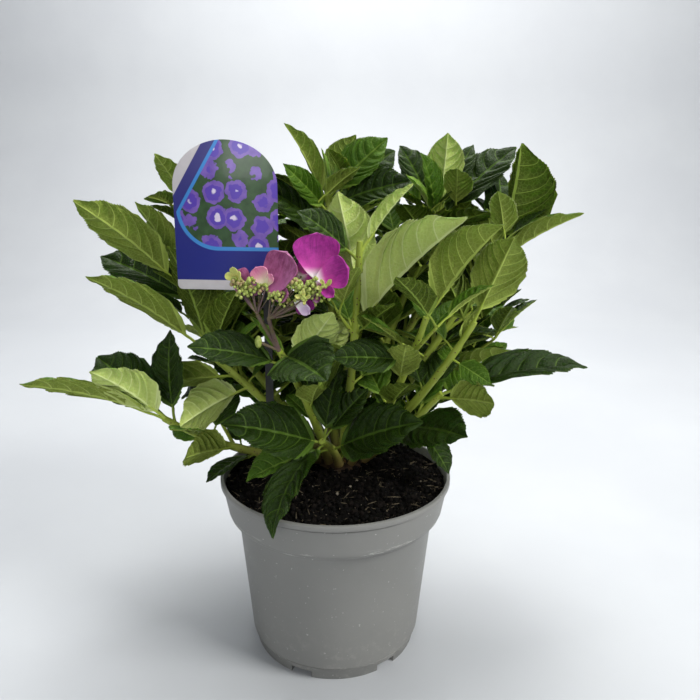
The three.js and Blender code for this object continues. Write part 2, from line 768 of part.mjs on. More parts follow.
const pieces = new Map();
pieces.set("pot", [pot, finish(0x7d7d7a, 0.6)]);
pieces.set("soil", [soil, finish(0x1c1510, 0.95)]);
pieces.set("stump", [stump, finish(0x6b5238, 0.85)]);
pieces.set("label_card", [card, finish(0x24408f, 0.35)]);
pieces.set("label_stake", [stake, finish(0x141414, 0.5)]);
pieces.set("flower_head", [head, finish(0xa03a96, 0.6)]);
for (const shoot of SHOOTS) {
  if (shoot.bough) pieces.set("bough_" + shoot.name, [shoot.bough, caneGreen]);
  pieces.set("leaves_" + shoot.name, [wholeBody(wasm.Manifold.union(shoot.solids)), leafGreen]);
}
for (const [name, [solid, material]] of pieces) hydrangea.add(meshOf(name, solid, material));

export default hydrangea;
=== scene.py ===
"""A lacecap hydrangea in its grey nursery pot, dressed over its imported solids.

The shrub grows here by the same seeded rule as its solids do, with finer leaves. Sizes are in
millimetres, with the origin in the middle of the pot's underside and the front towards -Y.
"""

import logging
import math
from collections.abc import Callable
from dataclasses import dataclass, field, replace
from enum import Enum, IntEnum

import bpy
import numpy as np
from mathutils import Matrix, Vector, noise
from mathutils.bvhtree import BVHTree


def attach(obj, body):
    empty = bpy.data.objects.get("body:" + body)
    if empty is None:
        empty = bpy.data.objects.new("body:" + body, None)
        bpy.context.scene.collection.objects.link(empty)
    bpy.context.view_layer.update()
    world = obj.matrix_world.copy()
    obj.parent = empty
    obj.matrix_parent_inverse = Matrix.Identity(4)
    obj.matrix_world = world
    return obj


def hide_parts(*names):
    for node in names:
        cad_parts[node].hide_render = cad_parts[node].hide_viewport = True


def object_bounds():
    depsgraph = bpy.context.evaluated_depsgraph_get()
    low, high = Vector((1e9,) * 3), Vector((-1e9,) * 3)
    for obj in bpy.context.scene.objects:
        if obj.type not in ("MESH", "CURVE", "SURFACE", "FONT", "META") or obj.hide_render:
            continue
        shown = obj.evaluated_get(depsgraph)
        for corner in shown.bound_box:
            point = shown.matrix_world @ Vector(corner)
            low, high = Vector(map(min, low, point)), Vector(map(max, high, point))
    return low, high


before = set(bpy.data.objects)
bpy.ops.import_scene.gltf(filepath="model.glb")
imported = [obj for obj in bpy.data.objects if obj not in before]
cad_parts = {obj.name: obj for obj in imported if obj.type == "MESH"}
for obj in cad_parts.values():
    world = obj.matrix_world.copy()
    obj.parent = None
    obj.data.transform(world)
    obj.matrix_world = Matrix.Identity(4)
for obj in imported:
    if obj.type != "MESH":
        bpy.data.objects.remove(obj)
SOLIDS_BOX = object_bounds()
LOG = logging.getLogger("hydrangea")
MM = 0.001
BODY = "root"

Piece = bpy.types.Object
Material = bpy.types.Material
Socket = bpy.types.NodeSocket
Color = tuple[int, int, int]
Value = Socket | Vector | float | tuple[float, ...]
Place = tuple[float, float, float]
Form = tuple[np.ndarray, np.ndarray | list[list[int]]]

# Driving sizes of the plant's growth, in millimetres, shares and degrees
GAP = 0.3
SEED = 4107
FINE_SEED = 977
EXTRA_SEED = 61
SPIRAL = 137.5
SOIL_LEVEL = 161.0
STUMP_CENTRE = (4.0, 34.0)
STUMP_RADIUS = 27.0
STUMP_HEIGHT = 17.0
STALK_ROOT = 1.2
SMALL_LEAF = 66.0
LEAF_ARCH = 0.05
CROWN_CENTRE = np.array([0.0, 25.0, 232.0])
CROWN_REACH = np.array([268.0, 250.0, 252.0])
CROWN_LOWEST = 174.0
FINE_MARGIN = 10.0
FINE_FRONT = 12.0
BLADE_NUDGES = (
    (0, 0), (0, 5), (0, -5), (5, 0), (-5, 0), (7, 7), (-7, 7), (7, -7), (-7, -7),
    (0, 12), (0, -12), (12, 0), (-12, 0), (14, 12), (-14, 12), (14, -12), (-14, -12), (24, 4), (-24, 4),
)

# How deep light goes into leaves and sepals, in metres, and its share of red, green and blue
GLOW_REACH = 0.0015
GLOW_COLOR = (0.6, 1.0, 0.4)
SEPAL_CHART = "sepal"


class PaintedLightTone(IntEnum):
    """How much shade or light is painted into a leaf's colour, from the shaded heart of the shrub to its
    sunny top.
    """

    DARK = 0
    MIDDLE = 1
    BRIGHT = 2


# DARK paints shade into a leaf's colour and BRIGHT paints light. The finer leaves inside the shrub take
# mostly painted shade. The young tip leaves take the bright copy, which is partly their own paler colour
# and partly painted light.
DARK, MIDDLE, BRIGHT = PaintedLightTone
RULE_TONES = (MIDDLE, DARK, MIDDLE)
FINE_TONES = (DARK, DARK, MIDDLE)
YOUNG_TONES = (BRIGHT, MIDDLE)


class LeafPart(IntEnum):
    """The parts of a leaf that have their own finish."""

    UPPER = 0
    UPPER_VEIN = 1
    LOWER = 2
    LOWER_VEIN = 3
    STALK = 4


def mix(low: float, high: float, share: float) -> float:
    """Returns the value a share of the way from low to high."""
    return low + (high - low) * share


def unit(vector: np.ndarray) -> np.ndarray:
    """Returns a vector of length one in the same direction."""
    return vector / np.linalg.norm(vector)


def heading_of(heading: float, rise: float) -> np.ndarray:
    """Returns the direction at a heading from +X and a rise from level, in degrees."""
    turn, lift = math.radians(heading), math.radians(rise)
    return np.array([math.cos(lift) * math.cos(turn), math.cos(lift) * math.sin(turn), math.sin(lift)])


# Node groups and finishes


def linear(color: Color) -> tuple[float, ...]:
    """Turns a colour as seen, from 0 to 255, into the shader's linear colour with full alpha."""
    shares = [part / 255 for part in color]
    return *(c / 12.92 if c <= 0.04045 else ((c + 0.055) / 1.055) ** 2.4 for c in shares), 1.0


@dataclass
class Nodes:
    """A shader node tree, with short ways to add nodes to it.

    Wherever a value is asked for, it may be a plain value or the output socket that it comes from.
    """

    tree: bpy.types.NodeTree

    def feed(self, given: Value, end: Socket) -> None:
        """Gives an input socket its value.

        Args:
            given: The value.
            end: The input socket.
        """
        if isinstance(given, Socket):
            self.tree.links.new(given, end)
        else:
            end.default_value = given

    def add(self, kind: str, inputs: dict | None = None, **settings: object) -> list[Socket]:
        """Adds a shader node, with its settings and the values of its input sockets.

        Args:
            kind: The node's type name after ShaderNode.
            inputs: Values by the input's name or index.
            **settings: Properties of the node itself.

        Returns:
            Its output sockets.
        """
        node = self.tree.nodes.new("ShaderNode" + kind)
        for key, value in settings.items():
            setattr(node, key, value)
        for key, given in (inputs or {}).items():
            self.feed(given, node.inputs[key])
        return node.outputs

    def maths(self, how: str, first: Value, second: Value = 0.0) -> Socket:
        """Returns the result of one of the Math node's operations."""
        return self.add("Math", {0: first, 1: second}, operation=how)[0]

    def times(self, first: Value, second: Value) -> Socket:
        """Returns the product of two values."""
        return self.maths("MULTIPLY", first, second)

    def span(self, value: Socket, low: float, high: float) -> Socket:
        """Works out a mask that goes smoothly from 0 at low to 1 at high, with either the greater.

        Args:
            value: What the mask is worked out from.
            low: Value where the mask is 0.
            high: Value where the mask is 1.

        Returns:
            The mask.
        """
        start, end = (0.0, 1.0) if low < high else (1.0, 0.0)
        inputs = {"Value": value, "From Min": min(low, high), "From Max": max(low, high)}
        inputs |= {"To Min": start, "To Max": end}
        return self.add("MapRange", inputs, interpolation_type="SMOOTHSTEP")["Result"]

    def blend(self, mask: Socket, first: Socket | Color, second: Socket | Color) -> Socket:
        """Mixes two colours by a mask.

        Args:
            mask: The mask.
            first: Colour where the mask is 0, as a socket or as seen.
            second: Colour where the mask is 1, as a socket or as seen.

        Returns:
            The mixed colour.
        """
        ends = [end if isinstance(end, Socket) else linear(end) for end in (first, second)]
        return self.add("Mix", {"Factor": mask, 6: ends[0], 7: ends[1]}, data_type="RGBA")[2]

    def clouds(self, where: Socket, scale: Value, detail: float, roughness: float = 0.5) -> Socket:
        """Adds a cloudy pattern.

        Args:
            where: The coordinates.
            scale: How many clouds there are to a metre, roughly.
            detail: How many finer layers they have.
            roughness: How strong the finer layers are.

        Returns:
            Values from about 0 to 1.
        """
        inputs = {"Vector": where, "Scale": scale, "Detail": detail, "Roughness": roughness}
        return self.add("TexNoise", inputs)["Fac"]

    def cells(self, where: Socket, scale: Value, feature: str = "F1", **inputs: float) -> Socket:
        """Adds a pattern of cells.

        Args:
            where: The coordinates.
            scale: How many cells there are to a metre, roughly.
            feature: F1 for the way to a cell's middle, DISTANCE_TO_EDGE for that to its edge.
            **inputs: Values of other inputs.

        Returns:
            The way, as a share of a cell.
        """
        inputs |= {"Vector": where, "Scale": scale}
        return self.add("TexVoronoi", inputs, feature=feature)["Distance"]

    def here(self) -> Socket:
        """Returns the object's own coordinates, in metres."""
        return self.add("TexCoord")["Object"]

    def part(self, vector: Socket, axis: str) -> Socket:
        """Returns one part of a vector: X, Y or Z."""
        return self.add("SeparateXYZ", {0: vector})[axis]


def new_group(name: str, inputs: dict[str, float | tuple], outputs: tuple[str, ...]) -> tuple:
    """Starts a shader node group.

    Args:
        name: The group's name.
        inputs: Each input's name with its start value, a number or a colour.
        outputs: Names of the outputs; one named Color is a colour, any other a number.

    Returns:
        Its nodes, the sockets that bring its inputs and those that take its outputs.
    """
    tree = bpy.data.node_groups.new(name, "ShaderNodeTree")
    for label, value in inputs.items():
        kind = "NodeSocketFloat" if isinstance(value, float) else "NodeSocketColor"
        socket = tree.interface.new_socket(label, in_out="INPUT", socket_type=kind)
        socket.default_value = value
    for label in outputs:
        kind = "NodeSocketColor" if label == "Color" else "NodeSocketFloat"
        tree.interface.new_socket(label, in_out="OUTPUT", socket_type=kind)
    start, end = tree.nodes.new("NodeGroupInput"), tree.nodes.new("NodeGroupOutput")
    return Nodes(tree), start.outputs, end.inputs


@dataclass
class SharedEffects:
    """The effects that all finishes use, each a node group made on its first use."""

    patches: bpy.types.NodeTree | None = None
    relief: bpy.types.NodeTree | None = None

    def make_patches(self) -> bpy.types.NodeTree:
        """Makes the group that mixes two colours in soft patches and varies the gloss with them.

        Returns:
            The group.
        """
        if self.patches is None:
            inputs = {"Base": (0, 0, 0, 1), "Other": (1, 1, 1, 1), "Scale": 60.0}
            inputs |= {"Amount": 0.5, "Gloss": 0.5, "Vary": 0.1}
            nodes, given, end = new_group("soft patches", inputs, ("Color", "Roughness"))
            mask = nodes.span(nodes.clouds(nodes.here(), given["Scale"], 5.0, 0.62), 0.34, 0.68)
            share = nodes.times(mask, given["Amount"])
            uneven = nodes.times(nodes.maths("SUBTRACT", mask, 0.5), given["Vary"])
            nodes.feed(nodes.blend(share, given["Base"], given["Other"]), end["Color"])
            nodes.feed(nodes.maths("ADD", given["Gloss"], uneven), end["Roughness"])
            self.patches = nodes.tree
        return self.patches

    def make_relief(self) -> bpy.types.NodeTree:
        """Makes the group for fine relief: a net of cells mixed with fine grain.

        Returns:
            The group.
        """
        if self.relief is None:
            inputs = {"Cells": 700.0, "Grain": 1500.0, "Net": 0.5}
            nodes, given, end = new_group("fine relief", inputs, ("Height",))
            here = nodes.here()
            net = nodes.span(nodes.cells(here, given["Cells"], "DISTANCE_TO_EDGE"), 0.0, 0.22)
            both = nodes.times(net, given["Net"])
            grain = nodes.clouds(here, given["Grain"], 3.0)
            nodes.feed(nodes.maths("ADD", both, grain), end["Height"])
            self.relief = nodes.tree
        return self.relief


EFFECTS = SharedEffects()


@dataclass(frozen=True)
class Finish:
    """A surface with patchy colour and fine relief, from which all finishes are made."""

    name: str
    base: Color
    other: Color
    gloss: float = 0.5
    vary: float = 0.1
    amount: float = 0.6
    patch: float = 60.0
    cells: float = 700.0
    grain: float = 1500.0
    net: float = 0.5
    depth: float = 0.00012
    strength: float = 0.5
    specular: float = 0.5
    sheen: float = 0.0
    coat: float = 0.0
    glow: float = 0.0

    def color(self, nodes: Nodes, plain: Socket) -> Socket:
        """Returns the base colour, which a finish with a pattern works out from the plain one."""
        return plain

    def material(self) -> Material:
        """Makes the material on its first use.

        Returns:
            The finished material.
        """
        made = bpy.data.materials.get(self.name)
        if made:
            return made
        material = bpy.data.materials.new(self.name)
        material.use_nodes = True
        nodes = Nodes(material.node_tree)
        given = {"Base": linear(self.base), "Other": linear(self.other), "Scale": self.patch}
        given |= {"Amount": self.amount, "Gloss": self.gloss, "Vary": self.vary}
        patches = nodes.add("Group", given, node_tree=EFFECTS.make_patches())
        fine = {"Cells": self.cells, "Grain": self.grain, "Net": self.net}
        relief = nodes.add("Group", fine, node_tree=EFFECTS.make_relief())["Height"]
        raised = {"Strength": self.strength, "Distance": self.depth, "Height": relief}
        inputs = {
            "Base Color": self.color(nodes, patches["Color"]),
            "Roughness": patches["Roughness"],
            "Normal": nodes.add("Bump", raised)["Normal"],
            "Specular IOR Level": self.specular,
            "Sheen Weight": self.sheen,
            "Coat Weight": self.coat,
            "Subsurface Weight": self.glow,
            "Subsurface Scale": GLOW_REACH,
            "Subsurface Radius": GLOW_COLOR,
        }
        shader = next(node for node in nodes.tree.nodes if node.type == "BSDF_PRINCIPLED")
        for label, value in inputs.items():
            nodes.feed(value, shader.inputs[label])
        return material


@dataclass(frozen=True)
class BarkFinish(Finish):
    """Green cane with small dark raised spots, browner towards its foot."""

    foot: Color = (104, 84, 52)
    foot_top: float = 0.212
    spot: Color = (92, 58, 44)
    spots: float = 260.0

    def color(self, nodes: Nodes, plain: Socket) -> Socket:
        """Adds the spots and the brown foot.

        Args:
            nodes: The material's nodes.
            plain: The patchy colour.

        Returns:
            The base colour.
        """
        here = nodes.here()
        dots = nodes.span(nodes.cells(here, self.spots), 0.22, 0.12)
        low = nodes.span(nodes.part(here, "Z"), self.foot_top, SOIL_LEVEL * MM)
        return nodes.blend(low, nodes.blend(dots, plain, self.spot), self.foot)


@dataclass(frozen=True)
class LeafFinish(Finish):
    """Leaf skin with a fine paler net between the drawn veins."""

    lines: Color = (120, 138, 58)
    share: float = 0.0
    meshes: float = 290.0

    def color(self, nodes: Nodes, plain: Socket) -> Socket:
        """Adds the net, where the finish has one.

        Args:
            nodes: The material's nodes.
            plain: The patchy colour.

        Returns:
            The base colour.
        """
        if not self.share:
            return plain
        net = nodes.span(nodes.cells(nodes.here(), self.meshes, "DISTANCE_TO_EDGE"), 0.14, 0.02)
        return nodes.blend(nodes.times(net, self.share), plain, self.lines)


@dataclass(frozen=True)
class PotFinish(Finish):
    """Grey moulded plastic, dusty near the ground, chipped, and rubbed along the collar."""

    collar: float = 0.1314
    dust: Color = (168, 166, 158)
    rub: Color = (196, 196, 190)
    rubbed_share: float = 0.9
    chipped_share: float = 0.55
    dusty_share: float = 0.5

    def color(self, nodes: Nodes, plain: Socket) -> Socket:
        """Adds rubbed streaks at the collar's edge, small chips all over and dust at the foot.

        Args:
            nodes: The material's nodes.
            plain: The patchy colour.

        Returns:
            The base colour.
        """
        here = nodes.here()
        height = nodes.part(here, "Z")
        flattened = nodes.add("Mapping", {"Vector": here, "Scale": (1.0, 1.0, 7.0)})[0]
        streaks = nodes.span(nodes.clouds(flattened, 34.0, 6.0, 0.7), 0.54, 0.61)
        off_edge = nodes.maths("ABSOLUTE", nodes.maths("SUBTRACT", height, self.collar + 0.004))
        rubbed = nodes.times(nodes.times(streaks, nodes.span(off_edge, 0.007, 0.001)), self.rubbed_share)
        chips = nodes.span(nodes.clouds(here, 330.0, 2.0), 0.7, 0.76)
        marked = nodes.maths("MAXIMUM", rubbed, nodes.times(chips, self.chipped_share))
        specks = nodes.span(nodes.clouds(here, 120.0, 8.0, 0.75), 0.5, 0.72)
        dusty = nodes.times(nodes.span(height, 0.07, 0.0), nodes.times(specks, self.dusty_share))
        return nodes.blend(dusty, nodes.blend(marked, plain, self.rub), self.dust)


@dataclass(frozen=True)
class SepalFinish(Finish):
    """A sepal that pales towards its middle, with darker veins that run out to its edge."""

    gloss: float = 0.55
    cells: float = 1500.0
    depth: float = 0.0001
    sheen: float = 0.15
    glow: float = 0.15
    specular: float = 0.3
    throat: Color = (238, 226, 228)
    flush: Color = (214, 76, 172)
    vein: Color = (110, 22, 110)
    pale_end: float = 0.3
    flush_end: float = 0.75
    vein_share: float = 0.45
    flush_share: float = 0.7

    def color(self, nodes: Nodes, plain: Socket) -> Socket:
        """Adds the veins, the flush and the pale throat, on the sepal's own chart.

        Args:
            nodes: The material's nodes.
            plain: The patchy colour.

        Returns:
            The base colour.
        """
        chart = nodes.add("UVMap", uv_map=SEPAL_CHART)["UV"]
        out = nodes.part(chart, "Y")
        drawn = nodes.add("Mapping", {"Vector": chart, "Scale": (26.0, 1.6, 1.0)})[0]
        inputs = {"Vector": drawn, "Scale": 1.0, "Detail": 4.0, "Distortion": 0.4}
        lines = nodes.add("TexNoise", inputs)["Fac"]
        veins = nodes.times(nodes.span(lines, 0.5, 0.62), self.vein_share)
        warm = nodes.times(nodes.span(out, self.flush_end, 0.1), self.flush_share)
        flushed = nodes.blend(warm, nodes.blend(veins, plain, self.vein), self.flush)
        return nodes.blend(nodes.span(out, self.pale_end, 0.04), flushed, self.throat)



# The same leaf colours three times over: darkened for painted shade (DARK), in between (MIDDLE) and
# lightened for painted light (BRIGHT).
LEAF_COLORS = {
    DARK: {
        LeafPart.UPPER: ((25, 43, 4), (38, 60, 8)),
        LeafPart.UPPER_VEIN: ((72, 98, 32), (86, 112, 42)),
        LeafPart.LOWER: ((68, 84, 16), (86, 102, 24)),
        LeafPart.LOWER_VEIN: ((124, 146, 56), (136, 158, 66)),
        LeafPart.STALK: ((126, 144, 54), (142, 160, 66)),
    },
    MIDDLE: {
        LeafPart.UPPER: ((62, 94, 20), (82, 116, 30)),
        LeafPart.UPPER_VEIN: ((112, 142, 54), (126, 154, 64)),
        LeafPart.LOWER: ((120, 135, 54), (138, 152, 64)),
        LeafPart.LOWER_VEIN: ((164, 182, 86), (174, 192, 94)),
        LeafPart.STALK: ((158, 178, 68), (172, 190, 82)),
    },
    BRIGHT: {
        LeafPart.UPPER: ((98, 132, 40), (120, 154, 54)),
        LeafPart.UPPER_VEIN: ((164, 190, 98), (174, 198, 108)),
        LeafPart.LOWER: ((176, 194, 104), (194, 210, 120)),
        LeafPart.LOWER_VEIN: ((200, 214, 142), (208, 220, 150)),
        LeafPart.STALK: ((176, 194, 84), (188, 206, 98)),
    },
}


def leaf_finish(tone: PaintedLightTone, part: LeafPart) -> LeafFinish:
    """Works out the finish of one part of a leaf in one tone.

    Args:
        tone: The leaf's tone, the light or shade painted into its colour.
        part: The part of the leaf.

    Returns:
        The finish.
    """
    base, other = LEAF_COLORS[tone][part]
    upper = part in (LeafPart.UPPER, LeafPart.UPPER_VEIN)
    vein = part in (LeafPart.UPPER_VEIN, LeafPart.LOWER_VEIN, LeafPart.STALK)
    return LeafFinish(
        name=f"leaf_{part.name.lower()}_{tone.name.lower()}",
        base=base,
        other=other,
        gloss=0.43 if upper else 0.62,
        vary=0.12,
        patch=45.0,
        cells=360.0,
        net=0.2 if vein else 0.9,
        depth=0.0004,
        strength=0.3 if vein else 0.85,
        specular=0.17 if upper else 0.2,
        glow=0.0 if vein else 0.12,
        lines=LEAF_COLORS[tone][LeafPart.UPPER_VEIN if upper else LeafPart.LOWER_VEIN][0],
        share=0.0 if vein else 0.18 if upper else 0.3,
    )


# The rule of growth


@dataclass
class Seeded:
    """The plant's seeded number maker, so that it grows the same each time."""

    state: int

    def draw(self) -> float:
        """Draws the next number.

        Returns:
            The number, from 0 to 1.
        """
        whole = 0xFFFFFFFF
        self.state = (self.state + 0x6D2B79F5) & whole
        mixed = self.state
        mixed = ((mixed ^ (mixed >> 15)) * (mixed | 1)) & whole
        mixed ^= (mixed + (((mixed ^ (mixed >> 7)) * (mixed | 61)) & whole)) & whole
        return ((mixed ^ (mixed >> 14)) & whole) / (whole + 1)

    def around(self, spread: float) -> float:
        """Returns a number between minus and plus the spread."""
        return (2 * self.draw() - 1) * spread


@dataclass
class Cane:
    """The curve of one cane: from its foot in the stump, by its bend, to its top."""

    foot: np.ndarray
    bend: np.ndarray
    top: np.ndarray

    def point(self, at: float) -> np.ndarray:
        """Returns the point a share of the way up the cane."""
        return (1 - at) ** 2 * self.foot + 2 * at * (1 - at) * self.bend + at**2 * self.top

    def along(self, at: float) -> np.ndarray:
        """Returns the cane's direction a share of the way up."""
        return unit((1 - at) * (self.bend - self.foot) + at * (self.top - self.bend))

    def length(self) -> float:
        """Returns the cane's length."""
        points = np.array([self.point(i / 200) for i in range(201)])
        return float(np.linalg.norm(np.diff(points, axis=0), axis=1).sum())

    @staticmethod
    def radius(at: float) -> float:
        """Returns the cane's radius a share of the way up."""
        return mix(4.4, 3.5, at / 0.5) if at < 0.5 else mix(3.5, 2.5, (at - 0.5) / 0.5)


@dataclass
class Leaf:
    """One leaf: where its stalk starts, its direction, its length and its bends, in degrees."""

    base: np.ndarray
    heading: float
    rise: float
    length: float
    roll: float
    arch: float
    petiole: float
    fold: float
    twist: float
    room: float = 0.0
    # The light or shade painted into the leaf's colour.
    tone: PaintedLightTone = MIDDLE
    crease: float = 0.0
    breadth: float = 1.0
    width_share: float = 0.58

    def half_width(self, blade: np.ndarray) -> np.ndarray:
        """Works out half the blade's width.

        Args:
            blade: Shares of the blade, from its base to its tip.

        Returns:
            Half the width at each.
        """
        swell, taper = 0.55, 0.95
        widest = swell / (swell + taper)
        most = widest**swell * (1 - widest) ** taper
        form = blade**swell * (1 - blade) ** taper / most
        return 0.5 * self.width_share * (self.length - self.petiole) * form

    def frame(self, share: np.ndarray) -> tuple[np.ndarray, np.ndarray, np.ndarray, np.ndarray]:
        """Works out the midrib and the directions of the blade along the leaf.

        Args:
            share: Shares of the leaf's length, from stem to tip.

        Returns:
            Points on the midrib, directions to the blade's right side, directions out of its upper
            side, and shares of the blade.
        """
        stalk = self.petiole / self.length
        blade = np.clip((share - stalk) / (1 - stalk), 0.0, 1.0)
        along = heading_of(self.heading, self.rise)
        across = unit(np.cross(along, (0.0, 0.0, 1.0)))
        out = np.cross(across, along)
        turn = np.radians(self.roll + self.twist * (blade - 0.4))[:, None]
        right = across * np.cos(turn) - out * np.sin(turn)
        upper = out * np.cos(turn) + across * np.sin(turn)
        lift = (self.arch * self.length * 4 * share * (1 - share))[:, None]
        reach = (STALK_ROOT + (self.length - STALK_ROOT) * share)[:, None]
        return self.base + along * reach + upper * lift, right, upper, blade

    def plain_tube(self, left_off: int = 0) -> Form:
        """Makes the leaf's plain four-sided form, on which its room among the others is tried.

        Args:
            left_off: How many of its first sections to leave off.

        Returns:
            The points and the faces.
        """
        small = self.length < SMALL_LEAF
        stations = (0.0, 0.4, 1.0) if small else (0.0, 0.16, 0.42, 0.76, 1.0)
        stalk = self.petiole / self.length
        shares = np.array([0.0] + [stalk + (1 - stalk) * b for b in stations])[left_off:]
        middle, right, upper, blade = self.frame(shares)
        on_stalk = shares <= stalk
        thin = 1.7 * (0.7 if small else 1.0)
        half = self.half_width(blade)
        width = np.where(on_stalk, thin, half + 0.9 * (1 - blade)) + self.room
        thick = np.where(on_stalk, thin, 1.3 * (1 - 0.55 * blade) + self.room)
        fold = half * math.tan(math.radians(self.fold))
        corners = []
        for side, depth in ((0, 1), (1, 0), (0, -1), (-1, 0)):
            raised = (abs(side) * fold + depth * thick)[:, None]
            corners.append(middle + upper * raised + right * (side * width)[:, None])
        points = np.stack(corners, axis=1).reshape(-1, 3)
        last = len(shares) - 1
        faces = [
            [4 * i + k, 4 * i + (k + 1) % 4, 4 * i + 4 + (k + 1) % 4, 4 * i + 4 + k]
            for i in range(last)
            for k in range(4)
        ]
        faces += [[0, 1, 2, 3], [4 * last, 4 * last + 1, 4 * last + 2, 4 * last + 3]]
        return points, faces


@dataclass(frozen=True)
class Given:
    """One listed leaf: its tone, its place up the cane and its form, in degrees.

    The crease, the extra turn and the breadth are only drawn: they come on top of the plain form on
    which the leaf's room is tried.
    """

    # The light or shade painted into this leaf's colour, for how lit it is.
    tone: PaintedLightTone
    at: float
    heading: float
    rise: float
    length: float
    roll: float
    arch: float = LEAF_ARCH
    crease: float = 0.0
    turn: float = 0.0
    breadth: float = 1.0

    def dress(self, leaf: Leaf) -> Leaf:
        """Returns the placed leaf as it is drawn."""
        roll = leaf.roll + self.turn
        return replace(leaf, roll=roll, tone=self.tone, crease=self.crease, breadth=self.breadth)


@dataclass
class Shoot:
    """One cane of the shrub with its leaves.

    It stands on a ring round the stump and bends out to its top: lean is how far out, and climb how
    far up, the bend's control point lies. limb is the share of the cane that is a bare bough. The
    leaves are those of the solids' source; those added are in this script only.
    """

    name: str
    ring: float
    stand: float
    top: Place
    lean: float
    climb: float
    limb: float
    pairs: int
    leaf_length: float
    turn: float
    leaves: list[Given] = field(default_factory=list)
    added: list[Given] = field(default_factory=list)
    grown: list[Leaf] = field(default_factory=list)
    twigs: list[tuple[np.ndarray, np.ndarray]] = field(default_factory=list)

    def cane(self) -> Cane:
        """Works out the curve of this shoot's cane.

        Returns:
            The curve.
        """
        turn = math.radians(self.stand)
        cx, cy = STUMP_CENTRE
        x, y = cx + self.ring * math.cos(turn), cy + self.ring * math.sin(turn)
        foot = np.array([x, y, SOIL_LEVEL + STUMP_HEIGHT * 0.45])
        top = np.array(self.top, float)
        shares = np.array([self.lean, self.lean, self.climb])
        return Cane(foot, foot + (top - foot) * shares, top)
